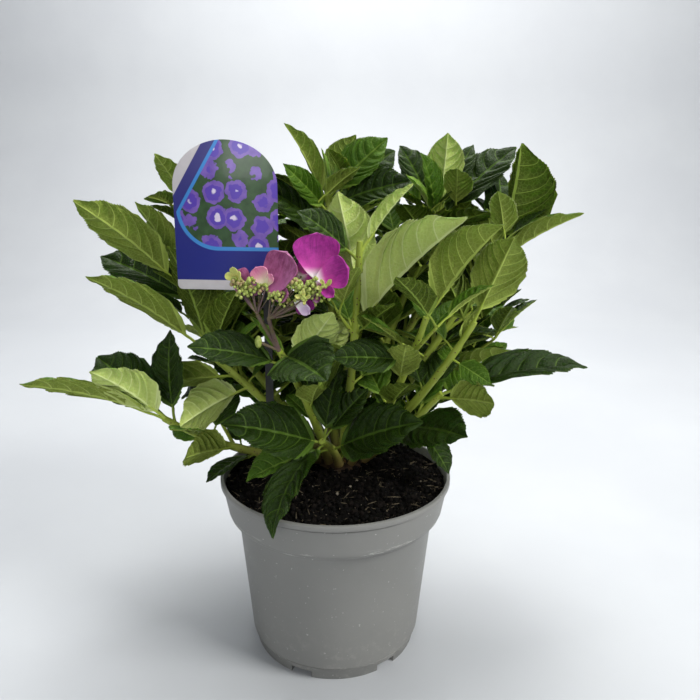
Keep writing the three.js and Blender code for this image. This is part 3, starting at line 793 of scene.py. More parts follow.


# Each given leaf's tone paints the light or shade that falls on it into its colour: DARK for shaded
# leaves, BRIGHT for lit ones.
SHOOTS = [
    Shoot(
        name="low_front", ring=24, stand=268, top=(-12, -24, 206), lean=0.3, climb=0.6,
        limb=0, pairs=0, leaf_length=80, turn=0,
        leaves=[
            Given(DARK, 0.8, 212, 21, 108, -34, turn=-20),
            Given(DARK, 0.85, 251, -17, 118, 24, 0.1, breadth=0.85),
            Given(DARK, 0.5, 318, 28, 116, 36, turn=20),
            Given(MIDDLE, 0.55, 213, -2, 88, -8),
            Given(DARK, 0.92, 358, 64, 90, 10, turn=30),
            Given(DARK, 0.98, 28, 60, 64, 32),
        ],
        added=[
            Given(MIDDLE, 0.02, 318, 30, 22, 0, 0.1),
            Given(DARK, 0.02, 288, 48, 20, 30, 0.1),
            Given(DARK, 0.04, 345, 50, 24, -20, 0.1),
        ],
    ),
    Shoot(
        name="front", ring=22, stand=240, top=(-46, -48, 296), lean=0.35, climb=0.5,
        limb=0.26, pairs=2, leaf_length=70, turn=100,
        leaves=[
            Given(DARK, 0.87, 197, 15, 86, -14, turn=-15),
            Given(DARK, 0.97, 298, 0, 88, -8, turn=40, breadth=1.2),
            Given(BRIGHT, 0.8, 325, 54, 74, -6, turn=-35),
            Given(BRIGHT, 0.74, 18, 46, 72, -66, turn=-20),
        ],
    ),
    Shoot(
        name="low_left", ring=24, stand=212, top=(-149, -35, 231), lean=0.62, climb=0.3,
        limb=0.3, pairs=1, leaf_length=66, turn=60,
        leaves=[
            Given(MIDDLE, 0.99, 194, 19, 120, 28, turn=4),
            Given(BRIGHT, 0.96, 225, 42, 88, 28, turn=15),
            Given(DARK, 0.96, 145, 23, 110, 16, turn=-45),
            Given(DARK, 0.92, 102, 74, 84, -42),
            Given(MIDDLE, 0.64, 143, 0, 60, -30),
            Given(MIDDLE, 0.5, 245, 14, 76, 48, turn=20),
            Given(DARK, 0.34, 226, -8, 64, 14, 0.08),
        ],
    ),
    Shoot(
        name="left", ring=18, stand=186, top=(-128, 4, 290), lean=0.5, climb=0.55,
        limb=0.28, pairs=2, leaf_length=72, turn=90,
        leaves=[
            Given(MIDDLE, 0.7, 209, 5, 82, 44, turn=10),
            Given(BRIGHT, 0.6, 239, -7, 90, 60, turn=25),
            Given(DARK, 0.72, 160, -24, 68, -30),
            Given(MIDDLE, 0.97, 192, 35, 114, 38),
            Given(DARK, 0.9, 166, 70, 104, 74),
            Given(DARK, 0.88, 336, 64, 72, -18),
        ],
    ),
    Shoot(
        name="upper_left", ring=22, stand=162, top=(-152, 45, 338), lean=0.45, climb=0.5,
        limb=0.34, pairs=2, leaf_length=84, turn=60,
        leaves=[
            Given(MIDDLE, 0.99, 204, 42, 118, 46),
            Given(MIDDLE, 0.93, 153, 54, 108, 64),
            Given(DARK, 0.85, 158, 33, 130, 10, turn=-35),
            Given(DARK, 0.88, 206, 20, 112, -6),
            Given(DARK, 0.9, 268, 76, 84, -30),
        ],
    ),
    Shoot(
        name="back_left", ring=14, stand=140, top=(-150, 108, 400), lean=0.4, climb=0.5,
        limb=0.36, pairs=3, leaf_length=88, turn=20,
        leaves=[Given(MIDDLE, 1, 218, 58, 70, 22), Given(DARK, 0.99, 46, 64, 72, -120)],
    ),
    Shoot(
        name="centre_back", ring=6, stand=150, top=(-10, 60, 424), lean=0.3, climb=0.5,
        limb=0.3, pairs=3, leaf_length=84, turn=10,
        leaves=[
            Given(MIDDLE, 0.95, 218, 56, 86, 10, crease=25, breadth=0.6),
            Given(MIDDLE, 0.92, 235, 34, 78, -98, breadth=0.6),
            Given(DARK, 0.98, 52, 54, 74, -108, crease=15),
            Given(MIDDLE, 0.97, 345, 44, 80, 70),
            Given(DARK, 0.94, 330, 24, 86, 54),
            Given(DARK, 0.84, 214, 32, 92, -56),
        ],
        added=[
            Given(DARK, 0.84, 178, 30, 84, 40, 0.08),
            Given(DARK, 0.96, 18, 36, 84, 60, 0.06),
            Given(DARK, 0.7, 190, 34, 80, 20, 0.08),
        ],
    ),
    Shoot(
        name="centre", ring=9, stand=270, top=(20, -36, 385), lean=0.8, climb=0.45,
        limb=0.24, pairs=3, leaf_length=70, turn=40,
        leaves=[
            Given(BRIGHT, 0.8, 180, 79, 88, 46, turn=25),
            Given(BRIGHT, 0.95, 356, 60, 72, -22, crease=20, breadth=0.6),
            Given(DARK, 0.93, 198, 38, 66, -58),
            Given(BRIGHT, 0.67, 317, 42, 146, -10, crease=35, turn=-14),
            Given(DARK, 0.62, 245, -19, 70, 90),
        ],
    ),
    Shoot(
        name="right_centre", ring=22, stand=298, top=(75, -48, 325), lean=0.6, climb=0.4,
        limb=0.26, pairs=2, leaf_length=72, turn=110,
        leaves=[
            Given(MIDDLE, 0.99, 335, 53, 98, -44, crease=35, turn=5),
            Given(MIDDLE, 0.62, 273, 50, 64, -14),
            Given(DARK, 0.78, 220, 20, 76, -58, breadth=0.8),
        ],
        added=[Given(BRIGHT, 0.34, 250, 66, 48, 10, 0.1), Given(DARK, 0.3, 200, 60, 52, 20, 0.1)],
    ),
    Shoot(
        name="right", ring=12, stand=330, top=(118, -30, 318), lean=0.6, climb=0.4,
        limb=0.3, pairs=2, leaf_length=70, turn=70,
        leaves=[
            Given(MIDDLE, 0.98, 300, 61, 88, -50, crease=12),
            Given(MIDDLE, 0.72, 60, 22, 54, -14),
            Given(MIDDLE, 0.8, 318, -20, 44, 56),
            Given(DARK, 0.95, 112, 45, 80, 130, breadth=0.8),
        ],
    ),
    Shoot(
        name="far_right", ring=20, stand=356, top=(146, 22, 374), lean=0.5, climb=0.5,
        limb=0.34, pairs=3, leaf_length=82, turn=30,
        leaves=[
            Given(DARK, 0.99, 311, 79, 96, -36, crease=35, turn=-62, breadth=1.45),
            Given(DARK, 0.97, 78, 56, 100, 40),
            Given(MIDDLE, 0.9, 332, 33, 100, -16, crease=20, breadth=0.65),
            Given(DARK, 0.86, 110, 74, 84, 100),
        ],
    ),
    Shoot(
        name="right_top", ring=8, stand=30, top=(97, 55, 404), lean=0.4, climb=0.5,
        limb=0.34, pairs=3, leaf_length=84, turn=60,
        leaves=[
            Given(BRIGHT, 0.99, 273, 71, 78, -12, crease=20),
            Given(DARK, 0.98, 28, 66, 82, 24, breadth=0.7),
            Given(MIDDLE, 0.96, 243, 54, 78, -108, breadth=0.7),
            Given(DARK, 0.98, 135, 54, 86, -34, breadth=0.75),
            Given(DARK, 0.95, 20, 32, 106, 28, breadth=1.1),
            Given(DARK, 0.9, 308, 26, 86, -12),
        ],
    ),
    Shoot(
        name="low_right", ring=26, stand=332, top=(96, -10, 248), lean=0.55, climb=0.45,
        limb=0.28, pairs=1, leaf_length=74, turn=60,
        leaves=[
            Given(DARK, 0.98, 356, 13, 132, -38, turn=50),
            Given(MIDDLE, 0.94, 303, 12, 72, -78),
            Given(DARK, 0.5, 292, 22, 116, 34),
            Given(MIDDLE, 0.97, 54, -8, 98, 8),
            Given(DARK, 0.62, 309, -36, 60, -6),
        ],
    ),
    Shoot(
        name="back_right", ring=16, stand=50, top=(128, 128, 372), lean=0.4, climb=0.5,
        limb=0.32, pairs=4, leaf_length=98, turn=20,
    ),
    Shoot(
        name="back_middle", ring=14, stand=92, top=(14, 168, 392), lean=0.4, climb=0.5,
        limb=0.32, pairs=4, leaf_length=106, turn=75,
    ),
    Shoot(
        name="low_back", ring=25, stand=106, top=(-38, 186, 258), lean=0.55, climb=0.4,
        limb=0.3, pairs=4, leaf_length=104, turn=110,
    ),
    Shoot(
        name="low_back_left", ring=25, stand=136, top=(-142, 156, 266), lean=0.55, climb=0.4,
        limb=0.3, pairs=4, leaf_length=104, turn=145,
    ),
    Shoot(
        name="low_back_right", ring=25, stand=22, top=(148, 112, 264), lean=0.55, climb=0.4,
        limb=0.3, pairs=4, leaf_length=102, turn=40,
    ),
]


@dataclass
class Growth:
    """Grows the shrub: it places each leaf where it is clear of all that stands already."""

    dice: Seeded
    room: float = 0.5
    twig_chance: float = 0.4
    young_leaves: int = 6
    fine_pairs: int = 12
    fine_twigs: int = 14
    shortest: float = 34.0
    longest_share: float = 0.78
    owners: list[str] = field(default_factory=list)
    trees: list[BVHTree] = field(default_factory=list)
    lows: list[np.ndarray] = field(default_factory=list)
    highs: list[np.ndarray] = field(default_factory=list)

    def place(self, owner: str, form: Form) -> None:
        """Keeps a form as something that later leaves stay clear of.

        Args:
            owner: The shoot or piece that it belongs to.
            form: Its points and its faces.
        """
        points, faces = form
        self.owners.append(owner)
        self.trees.append(BVHTree.FromPolygons(points.tolist(), faces))
        self.lows.append(points.min(axis=0))
        self.highs.append(points.max(axis=0))

    def place_node(self, node: str, grow: float = 0.0) -> None:
        """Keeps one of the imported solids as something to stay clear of.

        Args:
            node: The solid's name.
            grow: How much it is widened on every side.
        """
        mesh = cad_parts[node].data
        points = np.zeros(len(mesh.vertices) * 3)
        mesh.vertices.foreach_get("co", points)
        points = points.reshape(-1, 3) / MM
        middle = (points.min(axis=0) + points.max(axis=0)) / 2
        points = middle + (points - middle) * (1 + grow / (points.max(axis=0) - middle))
        self.place(node, (points, [list(face.vertices) for face in mesh.polygons]))

    def meets(self, form: Form, own: str | None = None) -> bool:
        """Says whether a form cuts any placed form.

        Args:
            form: Its points and its faces.
            own: An owner whose forms aren't tried.

        Returns:
            True where it cuts one.
        """
        points, faces = form
        low, high = points.min(axis=0), points.max(axis=0)
        near = np.all((np.array(self.lows) <= high) & (np.array(self.highs) >= low), axis=1)
        chosen = [i for i in np.flatnonzero(near) if own is None or self.owners[i] != own]
        if not chosen:
            return False
        tree = BVHTree.FromPolygons(points.tolist(), faces)
        return any(tree.overlap(self.trees[i]) for i in chosen)

    @staticmethod
    def in_crown(point: np.ndarray) -> bool:
        """Says whether a point lies in the crown's own space."""
        inside = float((((point - CROWN_CENTRE) / CROWN_REACH) ** 2).sum()) < 1
        return bool(point[2] > CROWN_LOWEST) and inside

    @staticmethod
    def in_reach(points: np.ndarray, fine: bool) -> bool:
        """Says whether points lie in the solids' box and, for fine leaves, well in and not in front.

        Args:
            points: The points.
            fine: Whether they belong to a finer leaf or twig.

        Returns:
            True where all of them do.
        """
        low, high = np.array(SOLIDS_BOX) / MM
        margin = FINE_MARGIN if fine else -1.0
        behind = not fine or bool(np.all(points[..., 1] > FINE_FRONT))
        return behind and bool(np.all(points > low + margin) and np.all(points < high - margin))

    def add_leaf(
        self, shoot: Shoot, base: np.ndarray, heading: float, rise: float, length: float, roll: float,
        arch: float, inside: bool = True, fine: bool = False, tones: tuple[PaintedLightTone, ...] = RULE_TONES,
    ) -> bool:
        """Places a leaf at the first small change of direction that leaves it clear.

        Args:
            shoot: The shoot that it grows on.
            base: Where its stalk starts.
            heading: Its heading in degrees.
            rise: Its rise in degrees.
            length: Its length from stem to tip.
            roll: Its turn about its own midrib in degrees.
            arch: Rise of its midrib over the straight line, as a share of its length.
            inside: Whether it must keep to the crown's space.
            fine: Whether it is one of the finer leaves, that keep well within the solids' box.
            tones: The tones that it and its neighbours take in turn.

        Returns:
            True where a place was found.
        """
        fold, twist = 14 + self.dice.around(8), self.dice.around(20)
        petiole = min(13.0, 0.2 * length)
        for turn, lift in BLADE_NUDGES:
            leaf = Leaf(base, heading + turn, rise + lift, length, roll, arch, petiole, fold, twist)
            ends = leaf.frame(np.array([0.6, 1.0]))[0]
            if inside and not all(self.in_crown(p) for p in ends):
                continue
            if inside and not self.in_reach(ends, fine):
                continue
            roomy = replace(leaf, room=self.room)
            if self.meets(roomy.plain_tube(2)) or self.meets(roomy.plain_tube(), own=shoot.name):
                continue
            self.place(shoot.name, leaf.plain_tube())
            leaf.tone = tones[len(shoot.grown) % len(tones)]
            shoot.grown.append(leaf)
            return True
        return False

    def add_given(self, shoot: Shoot, given: Given) -> None:
        """Places a listed leaf, and gives it its look.

        Args:
            shoot: The shoot that it grows on.
            given: The leaf.
        """
        base = shoot.cane().point(given.at)
        form = (given.heading, given.rise, given.length, given.roll, given.arch)
        if self.add_leaf(shoot, base, *form, inside=False):
            shoot.grown[-1] = given.dress(shoot.grown[-1])
        else:
            LOG.info("no room for a leaf of %s at %s degrees", shoot.name, given.heading)

    def add_twig(self, shoot: Shoot, base: np.ndarray, tip: np.ndarray, radius: float) -> bool:
        """Places a side twig where it is clear.

        Args:
            shoot: The shoot that it grows on.
            base: Where it starts.
            tip: Where it ends.
            radius: Its radius.

        Returns:
            True where it is clear.
        """
        form = stick(base + unit(tip - base) * 0.5, tip, radius)
        if not self.in_crown(tip) or self.meets(form, own=shoot.name):
            return False
        self.place(shoot.name, form)
        shoot.twigs.append((base, tip))
        return True

    def add_side_twig(self, shoot: Shoot, base: np.ndarray, heading: float) -> None:
        """Grows a short side twig out of a leaf's axil, with a small pair of leaves at its end.

        Args:
            shoot: The shoot that it grows on.
            base: Where it starts.
            heading: Its heading in degrees.
        """
        around = self.dice.around
        rise = 52 + around(10)
        turned = heading + around(15)
        reach = 34 * (1 + around(0.2))
        tip = base + heading_of(turned, rise) * reach
        if self.add_twig(shoot, base, tip, 1.5):
            for side in (-70, 80):
                length = 58 * (1 + around(0.12))
                rise = 44 + around(10)
                self.add_leaf(shoot, tip, heading + side, rise, length, around(15), LEAF_ARCH)

    def add_pairs(self, shoot: Shoot) -> None:
        """Grows a shoot's leaves in pairs up its cane, each pair turned a quarter from the last.

        Args:
            shoot: The shoot.
        """
        around = self.dice.around
        cane = shoot.cane()
        for k in range(shoot.pairs):
            share = (k + 0.5) / shoot.pairs
            at = mix(shoot.limb + 0.06, 0.99, share)
            base = cane.point(at)
            for side in (0, 180):
                heading = shoot.turn + 90 * k + side + around(12)
                rise = mix(8, 54, at) + around(9)
                length = shoot.leaf_length * (1.08 - 0.3 * share) * (1 + around(0.08))
                roll = around(18)
                arch = LEAF_ARCH + around(0.025)
                self.add_leaf(shoot, base, heading, rise, length, roll, arch)
            if self.dice.draw() < self.twig_chance:
                self.add_side_twig(shoot, base, shoot.turn + 90 * k + 90)

    def add_fine_twigs(self, shoot: Shoot) -> None:
        """Grows thin side twigs out of a shoot's axils, each with a whorl of small leaves.

        Args:
            shoot: The shoot that they grow on.
        """
        around = self.dice.around
        cane = shoot.cane()
        for k in range(self.fine_twigs):
            at = mix(max(shoot.limb, 0.2) + 0.08, 0.92, (k + 0.5) / self.fine_twigs)
            heading = shoot.turn + SPIRAL * k + around(20)
            along = heading_of(heading, mix(24, 58, at) + around(12))
            base = cane.point(at)
            tip = base + along * 44 * (1 + around(0.3))
            if not self.in_reach(tip, True) or not self.add_twig(shoot, base, tip, 1.3):
                continue
            for side in (-125, -50, 30, 105):
                length = 50 * (1 + around(0.2))
                form = (heading + side, 34 + around(16), length, around(25), LEAF_ARCH)
                self.add_leaf(shoot, tip, *form, fine=True, tones=FINE_TONES)

    def add_young_leaves(self, shoot: Shoot) -> None:
        """Grows the small upright leaves that unfold at a cane's tip.

        Args:
            shoot: The shoot that they grow on.
        """
        around = self.dice.around
        tip = shoot.cane().point(0.97)
        for k in range(self.young_leaves):
            share = k / (self.young_leaves - 1)
            length = mix(60, 40, share) * (1 + around(0.1))
            form = (shoot.turn + SPIRAL * k, mix(58, 80, share) + around(6), length, around(30), 0.06)
            self.add_leaf(shoot, tip, *form, fine=True, tones=YOUNG_TONES)

    def add_fine_leaves(self, shoot: Shoot) -> None:
        """Fills a shoot with smaller leaves between its pairs, within the crown's space.

        Args:
            shoot: The shoot to fill.
        """
        around = self.dice.around
        cane = shoot.cane()
        longest = self.longest_share * shoot.leaf_length
        for k in range(self.fine_pairs):
            share = (k + 0.5) / self.fine_pairs
            at = mix(max(shoot.limb, 0.2) + 0.04, 0.97, share)
            for side in (0, 180):
                heading = shoot.turn + 45 + 90 * k + side + around(20)
                rise = mix(4, 50, at) + around(14)
                length = mix(longest, self.shortest, share) * (1 + around(0.12))
                form = (heading, rise, length, around(22), LEAF_ARCH)
                self.add_leaf(shoot, cane.point(at), *form, fine=True, tones=FINE_TONES)

    def grow(self) -> None:
        """Grows all the shoots, in the order of the part's source, and then their finer leaves."""
        for node in ("pot", "soil"):
            self.place_node(node)
        self.place_node("stump", GAP)
        for node in ("label_card", "label_stake"):
            self.place_node(node)
        for shoot in SHOOTS:
            cane = shoot.cane()
            split = shoot.limb + (GAP / cane.length() if shoot.limb > 0 else 0.0)
            if shoot.limb > 0:
                self.place_node("bough_" + shoot.name)
            self.place(shoot.name, limb(cane, split))
        self.place_node("flower_head")
        for centre in TOP_BUDS.places():
            self.place(TOP_BUDS.shoot, octahedron(centre, TOP_BUDS.bud))
        for shoot in SHOOTS:
            for given in shoot.leaves:
                self.add_given(shoot, given)
        for shoot in SHOOTS:
            self.add_pairs(shoot)
        self.dice = Seeded(EXTRA_SEED)
        for shoot in SHOOTS:
            for given in shoot.added:
                self.add_given(shoot, given)
        self.dice = Seeded(FINE_SEED)
        leafy = [shoot for shoot in SHOOTS if shoot.pairs]
        for shoot in leafy:
            self.add_young_leaves(shoot)
        for shoot in leafy:
            self.add_fine_leaves(shoot)
        for shoot in leafy:
            self.add_fine_twigs(shoot)


def tip_of(name: str) -> np.ndarray:
    """Returns the tip of the cane of one shoot."""
    return next(shoot for shoot in SHOOTS if shoot.name == name).cane().top


def stick(start: np.ndarray, end: np.ndarray, radius: float) -> Form:
    """Makes a plain straight rod with three sides.

    Args:
        start: Middle of one end.
        end: Middle of the other end.
        radius: Its radius.

    Returns:
        The points and the faces.
    """
    sides = 3
    along = unit(end - start)
    first = unit(np.cross(along, (1.0, 0.0, 0.0) if abs(along[0]) < 0.9 else (0.0, 1.0, 0.0)))
    second = np.cross(along, first)
    turns = [math.tau * i / sides for i in range(sides)]
    ring = np.array([first * math.cos(t) + second * math.sin(t) for t in turns]) * radius
    faces = [[i, (i + 1) % sides, sides + (i + 1) % sides, sides + i] for i in range(sides)]
    faces += [list(range(sides)), list(range(sides, 2 * sides))]
    return np.vstack([start + ring, end + ring]), faces


def limb(cane: Cane, start: float) -> Form:
    """Makes the plain five-sided form of the leafy stretch of a cane, up to its top.

    Args:
        cane: The cane.
        start: Share of the cane where it starts.

    Returns:
        The points and the faces.
    """
    sides = steps = 5
    flat = cane.top - cane.foot
    across = unit(np.array([flat[1], -flat[0], 0.0]))
    rows = []
    for step in range(steps + 1):
        share = step / steps
        at = mix(start, 1.0, share)
        radius = mix(cane.radius(start), cane.radius(1.0), share)
        beside = np.cross(across, cane.along(at))
        for side in range(sides):
            turn = math.tau * side / sides
            rows.append(cane.point(at) + (across * math.sin(turn) + beside * math.cos(turn)) * radius)
    faces = [
        [low + k, low + (k + 1) % sides, low + sides + (k + 1) % sides, low + sides + k]
        for low in range(0, sides * steps, sides)
        for k in range(sides)
    ]
    faces += [list(range(sides)), list(range(sides * steps, sides * (steps + 1)))]
    return np.array(rows), faces


def octahedron(centre: np.ndarray, radius: float) -> Form:
    """Makes the plain form of a bud, with six points and eight faces.

    Args:
        centre: Its middle.
        radius: How far its points are from it.

    Returns:
        The points and the faces.
    """
    points = np.vstack([np.eye(3), -np.eye(3)]) * radius + centre
    faces = [[x, y, z] for x in (0, 3) for y in (1, 4) for z in (2, 5)]
    return points, faces


@dataclass(frozen=True)
class TopBuds:
    """The cluster of tight green buds on the highest cane."""

    shoot: str = "centre_back"
    count: int = 5
    bud: float = 4.4
    spread: float = 9.0
    rise: float = 4.0

    def places(self) -> list[np.ndarray]:
        """Works out where the clusters stand, in a spiral over the cane's tip.

        Returns:
            The middle of each.
        """
        top = tip_of(self.shoot)
        found = []
        for i in range(self.count):
            turn = math.radians(i * SPIRAL)
            reach = self.spread * math.sqrt(i / self.count)
            offset = (reach * math.cos(turn), reach * math.sin(turn), self.rise - 0.03 * reach**2)
            found.append(top + np.array(offset))
        return found


TOP_BUDS = TopBuds()


# Ways to make meshes


# Points closer than this, in metres, are one
SAME_PLACE = 0.000001


def deselect() -> None:
    """Leaves edit mode and deselects every object."""
    if bpy.context.object and bpy.context.object.mode != "OBJECT":
        bpy.ops.object.mode_set(mode="OBJECT")
    bpy.ops.object.select_all(action="DESELECT")


def select_only(piece: Piece) -> None:
    """Makes one object the only one that is selected, and the active one.

    Args:
        piece: The object.
    """
    deselect()
    piece.select_set(True)
    bpy.context.view_layer.objects.active = piece


def apply_modifier(piece: Piece, kind: str, **settings: object) -> None:
    """Adds a modifier with its settings and applies it.

    Args:
        piece: The object.
        kind: The modifier's type.
        **settings: Its properties.
    """
    select_only(piece)
    modifier = piece.modifiers.new(kind.lower(), kind)
    for key, value in settings.items():
        setattr(modifier, key, value)
    bpy.ops.object.modifier_apply(modifier=modifier.name)


def place_in_mesh(piece: Piece) -> None:
    """Moves an object's place, turn and size into its mesh."""
    select_only(piece)
    bpy.ops.object.transform_apply(location=True, rotation=True, scale=True)


def outward(piece: Piece) -> None:
    """Merges doubled points and turns all faces outwards.

    Args:
        piece: The object.
    """
    select_only(piece)
    bpy.ops.object.mode_set(mode="EDIT")
    bpy.ops.mesh.select_all(action="SELECT")
    bpy.ops.mesh.remove_doubles(threshold=SAME_PLACE)
    bpy.ops.mesh.normals_make_consistent(inside=False)
    bpy.ops.object.mode_set(mode="OBJECT")


def smooth(piece: Piece, degrees: float) -> None:
    """Shades a piece smooth, with edges sharper than the angle kept sharp."""
    select_only(piece)
    bpy.ops.object.shade_smooth_by_angle(angle=math.radians(degrees))


def join(pieces: list[Piece], name: str) -> Piece:
    """Joins several objects into one.

    Args:
        pieces: The objects, of which the first keeps its place.
        name: The new name.

    Returns:
        The joined object.
    """
    deselect()
    for piece in pieces:
        piece.select_set(True)
    bpy.context.view_layer.objects.active = pieces[0]
    if len(pieces) > 1:
        bpy.ops.object.join()
    pieces[0].name = name
    return pieces[0]


def finish_piece(
    piece: Piece, slot: str, *replaced: str, finish: Finish | None = None, sharp: float = 0.0
) -> None:
    """Dresses a piece, lets it ride on the plant, and hides the solids that it stands for.

    Args:
        piece: The object.
        slot: The record's material slot; not used.
        *replaced: Names of the solids that it replaces.
        finish: Its finish, where it has none yet.
        sharp: The angle in degrees from which its edges stay sharp, or 0 to keep it all faceted.
    """
    if finish:
        piece.data.materials.append(finish.material())
    if sharp:
        smooth(piece, sharp)
    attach(piece, BODY)
    if replaced:
        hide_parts(*replaced)
    LOG.info("%s: %d faces", piece.name, len(piece.data.polygons))


@dataclass
class MeshPile:
    """Many small forms, kept as arrays and joined into one mesh."""

    points: list[np.ndarray] = field(default_factory=list)
    faces: list[np.ndarray] = field(default_factory=list)
    slots: list[np.ndarray] = field(default_factory=list)
    count: int = 0

    def add(self, points: np.ndarray, faces: np.ndarray, slots: np.ndarray | int = 0) -> None:
        """Adds a form.

        Args:
            points: Its points in millimetres.
            faces: Its faces, each with the same number of corners.
            slots: Its material index, one for all faces or one for each.
        """
        self.points.append(points)
        self.faces.append(faces + self.count)
        self.slots.append(np.broadcast_to(slots, (len(faces),)))
        self.count += len(points)

    def make(self, name: str, materials: list[Material]) -> Piece:
        """Makes the joined mesh.

        Args:
            name: Its name.
            materials: Its materials, in the order of the indexes.

        Returns:
            The new object.
        """
        mesh = bpy.data.meshes.new(name)
        points = np.vstack(self.points) * MM
        corners = np.concatenate([faces.ravel() for faces in self.faces])
        sizes = np.concatenate([np.full(len(faces), faces.shape[1]) for faces in self.faces])
        mesh.vertices.add(len(points))
        mesh.vertices.foreach_set("co", points.astype(np.float32).ravel())
        mesh.loops.add(len(corners))
        mesh.loops.foreach_set("vertex_index", corners.astype(np.int32))
        mesh.polygons.add(len(sizes))
        starts = np.concatenate([[0], np.cumsum(sizes)[:-1]])
        mesh.polygons.foreach_set("loop_start", starts.astype(np.int32))
        for material in materials:
            mesh.materials.append(material)
        mesh.polygons.foreach_set("material_index", np.concatenate(self.slots).astype(np.int32))
        mesh.update(calc_edges=True)
        mesh.validate()
        piece = bpy.data.objects.new(name, mesh)
        bpy.context.scene.collection.objects.link(piece)
        return piece


def form_of(piece: Piece) -> Form:
    """Takes an object's mesh as arrays, in the units of its making, and removes the object.

    Args:
        piece: An object with faces of one kind.

    Returns:
        Its points and its faces.
    """
    mesh = piece.data
    points = np.zeros(len(mesh.vertices) * 3)
    mesh.vertices.foreach_get("co", points)
    faces = np.array([list(face.vertices) for face in mesh.polygons])
    bpy.data.objects.remove(piece)
    return points.reshape(-1, 3), faces


def ball(divisions: int) -> Form:
    """Makes the form of a ball of radius one.

    Args:
        divisions: How finely it is divided.

    Returns:
        Its points and its faces.
    """
    deselect()
    bpy.ops.mesh.primitive_ico_sphere_add(subdivisions=divisions, radius=1.0)
    return form_of(bpy.context.object)


def tube(name: str, cane: Cane, radii: Callable[[float], float], cuts: int = 4) -> Piece:
    """Makes a closed round limb along a curve.

    Args:
        name: Its name.
        cane: The curve.
        radii: A function from the share of the way to the radius in millimetres.
        cuts: How often the curve is cut for its radii.

    Returns:
        The new object.
    """
    deselect()
    bpy.ops.curve.primitive_bezier_curve_add()
    piece = bpy.context.object
    piece.name = name
    curve = piece.data
    ends = curve.splines[0].bezier_points
    for point, place, side in ((ends[0], cane.foot, 1), (ends[1], cane.top, -1)):
        handle = place + (cane.bend - place) * 2 / 3
        point.handle_left_type = point.handle_right_type = "FREE"
        point.co = Vector(place * MM)
        inner, outer = (handle * MM, (2 * place - handle) * MM)
        point.handle_right = Vector(inner if side > 0 else outer)
        point.handle_left = Vector(outer if side > 0 else inner)
    bpy.ops.object.mode_set(mode="EDIT")
    bpy.ops.curve.select_all(action="SELECT")
    bpy.ops.curve.subdivide(number_cuts=cuts)
    bpy.ops.object.mode_set(mode="OBJECT")
    points = curve.splines[0].bezier_points
    for i, point in enumerate(points):
        point.radius = radii(i / (len(points) - 1))
    curve.bevel_depth = MM
    curve.bevel_resolution = 4
    curve.resolution_u = 2
    curve.use_fill_caps = True
    piece.location = (0, 0, 0)
    select_only(piece)
    bpy.ops.object.convert(target="MESH")
    place_in_mesh(piece)
    outward(piece)
    return piece


def straight(base: np.ndarray, tip: np.ndarray) -> Cane:
    """Returns the line from one place to another, as a cane."""
    return Cane(base, (base + tip) / 2, tip)


# Leaves


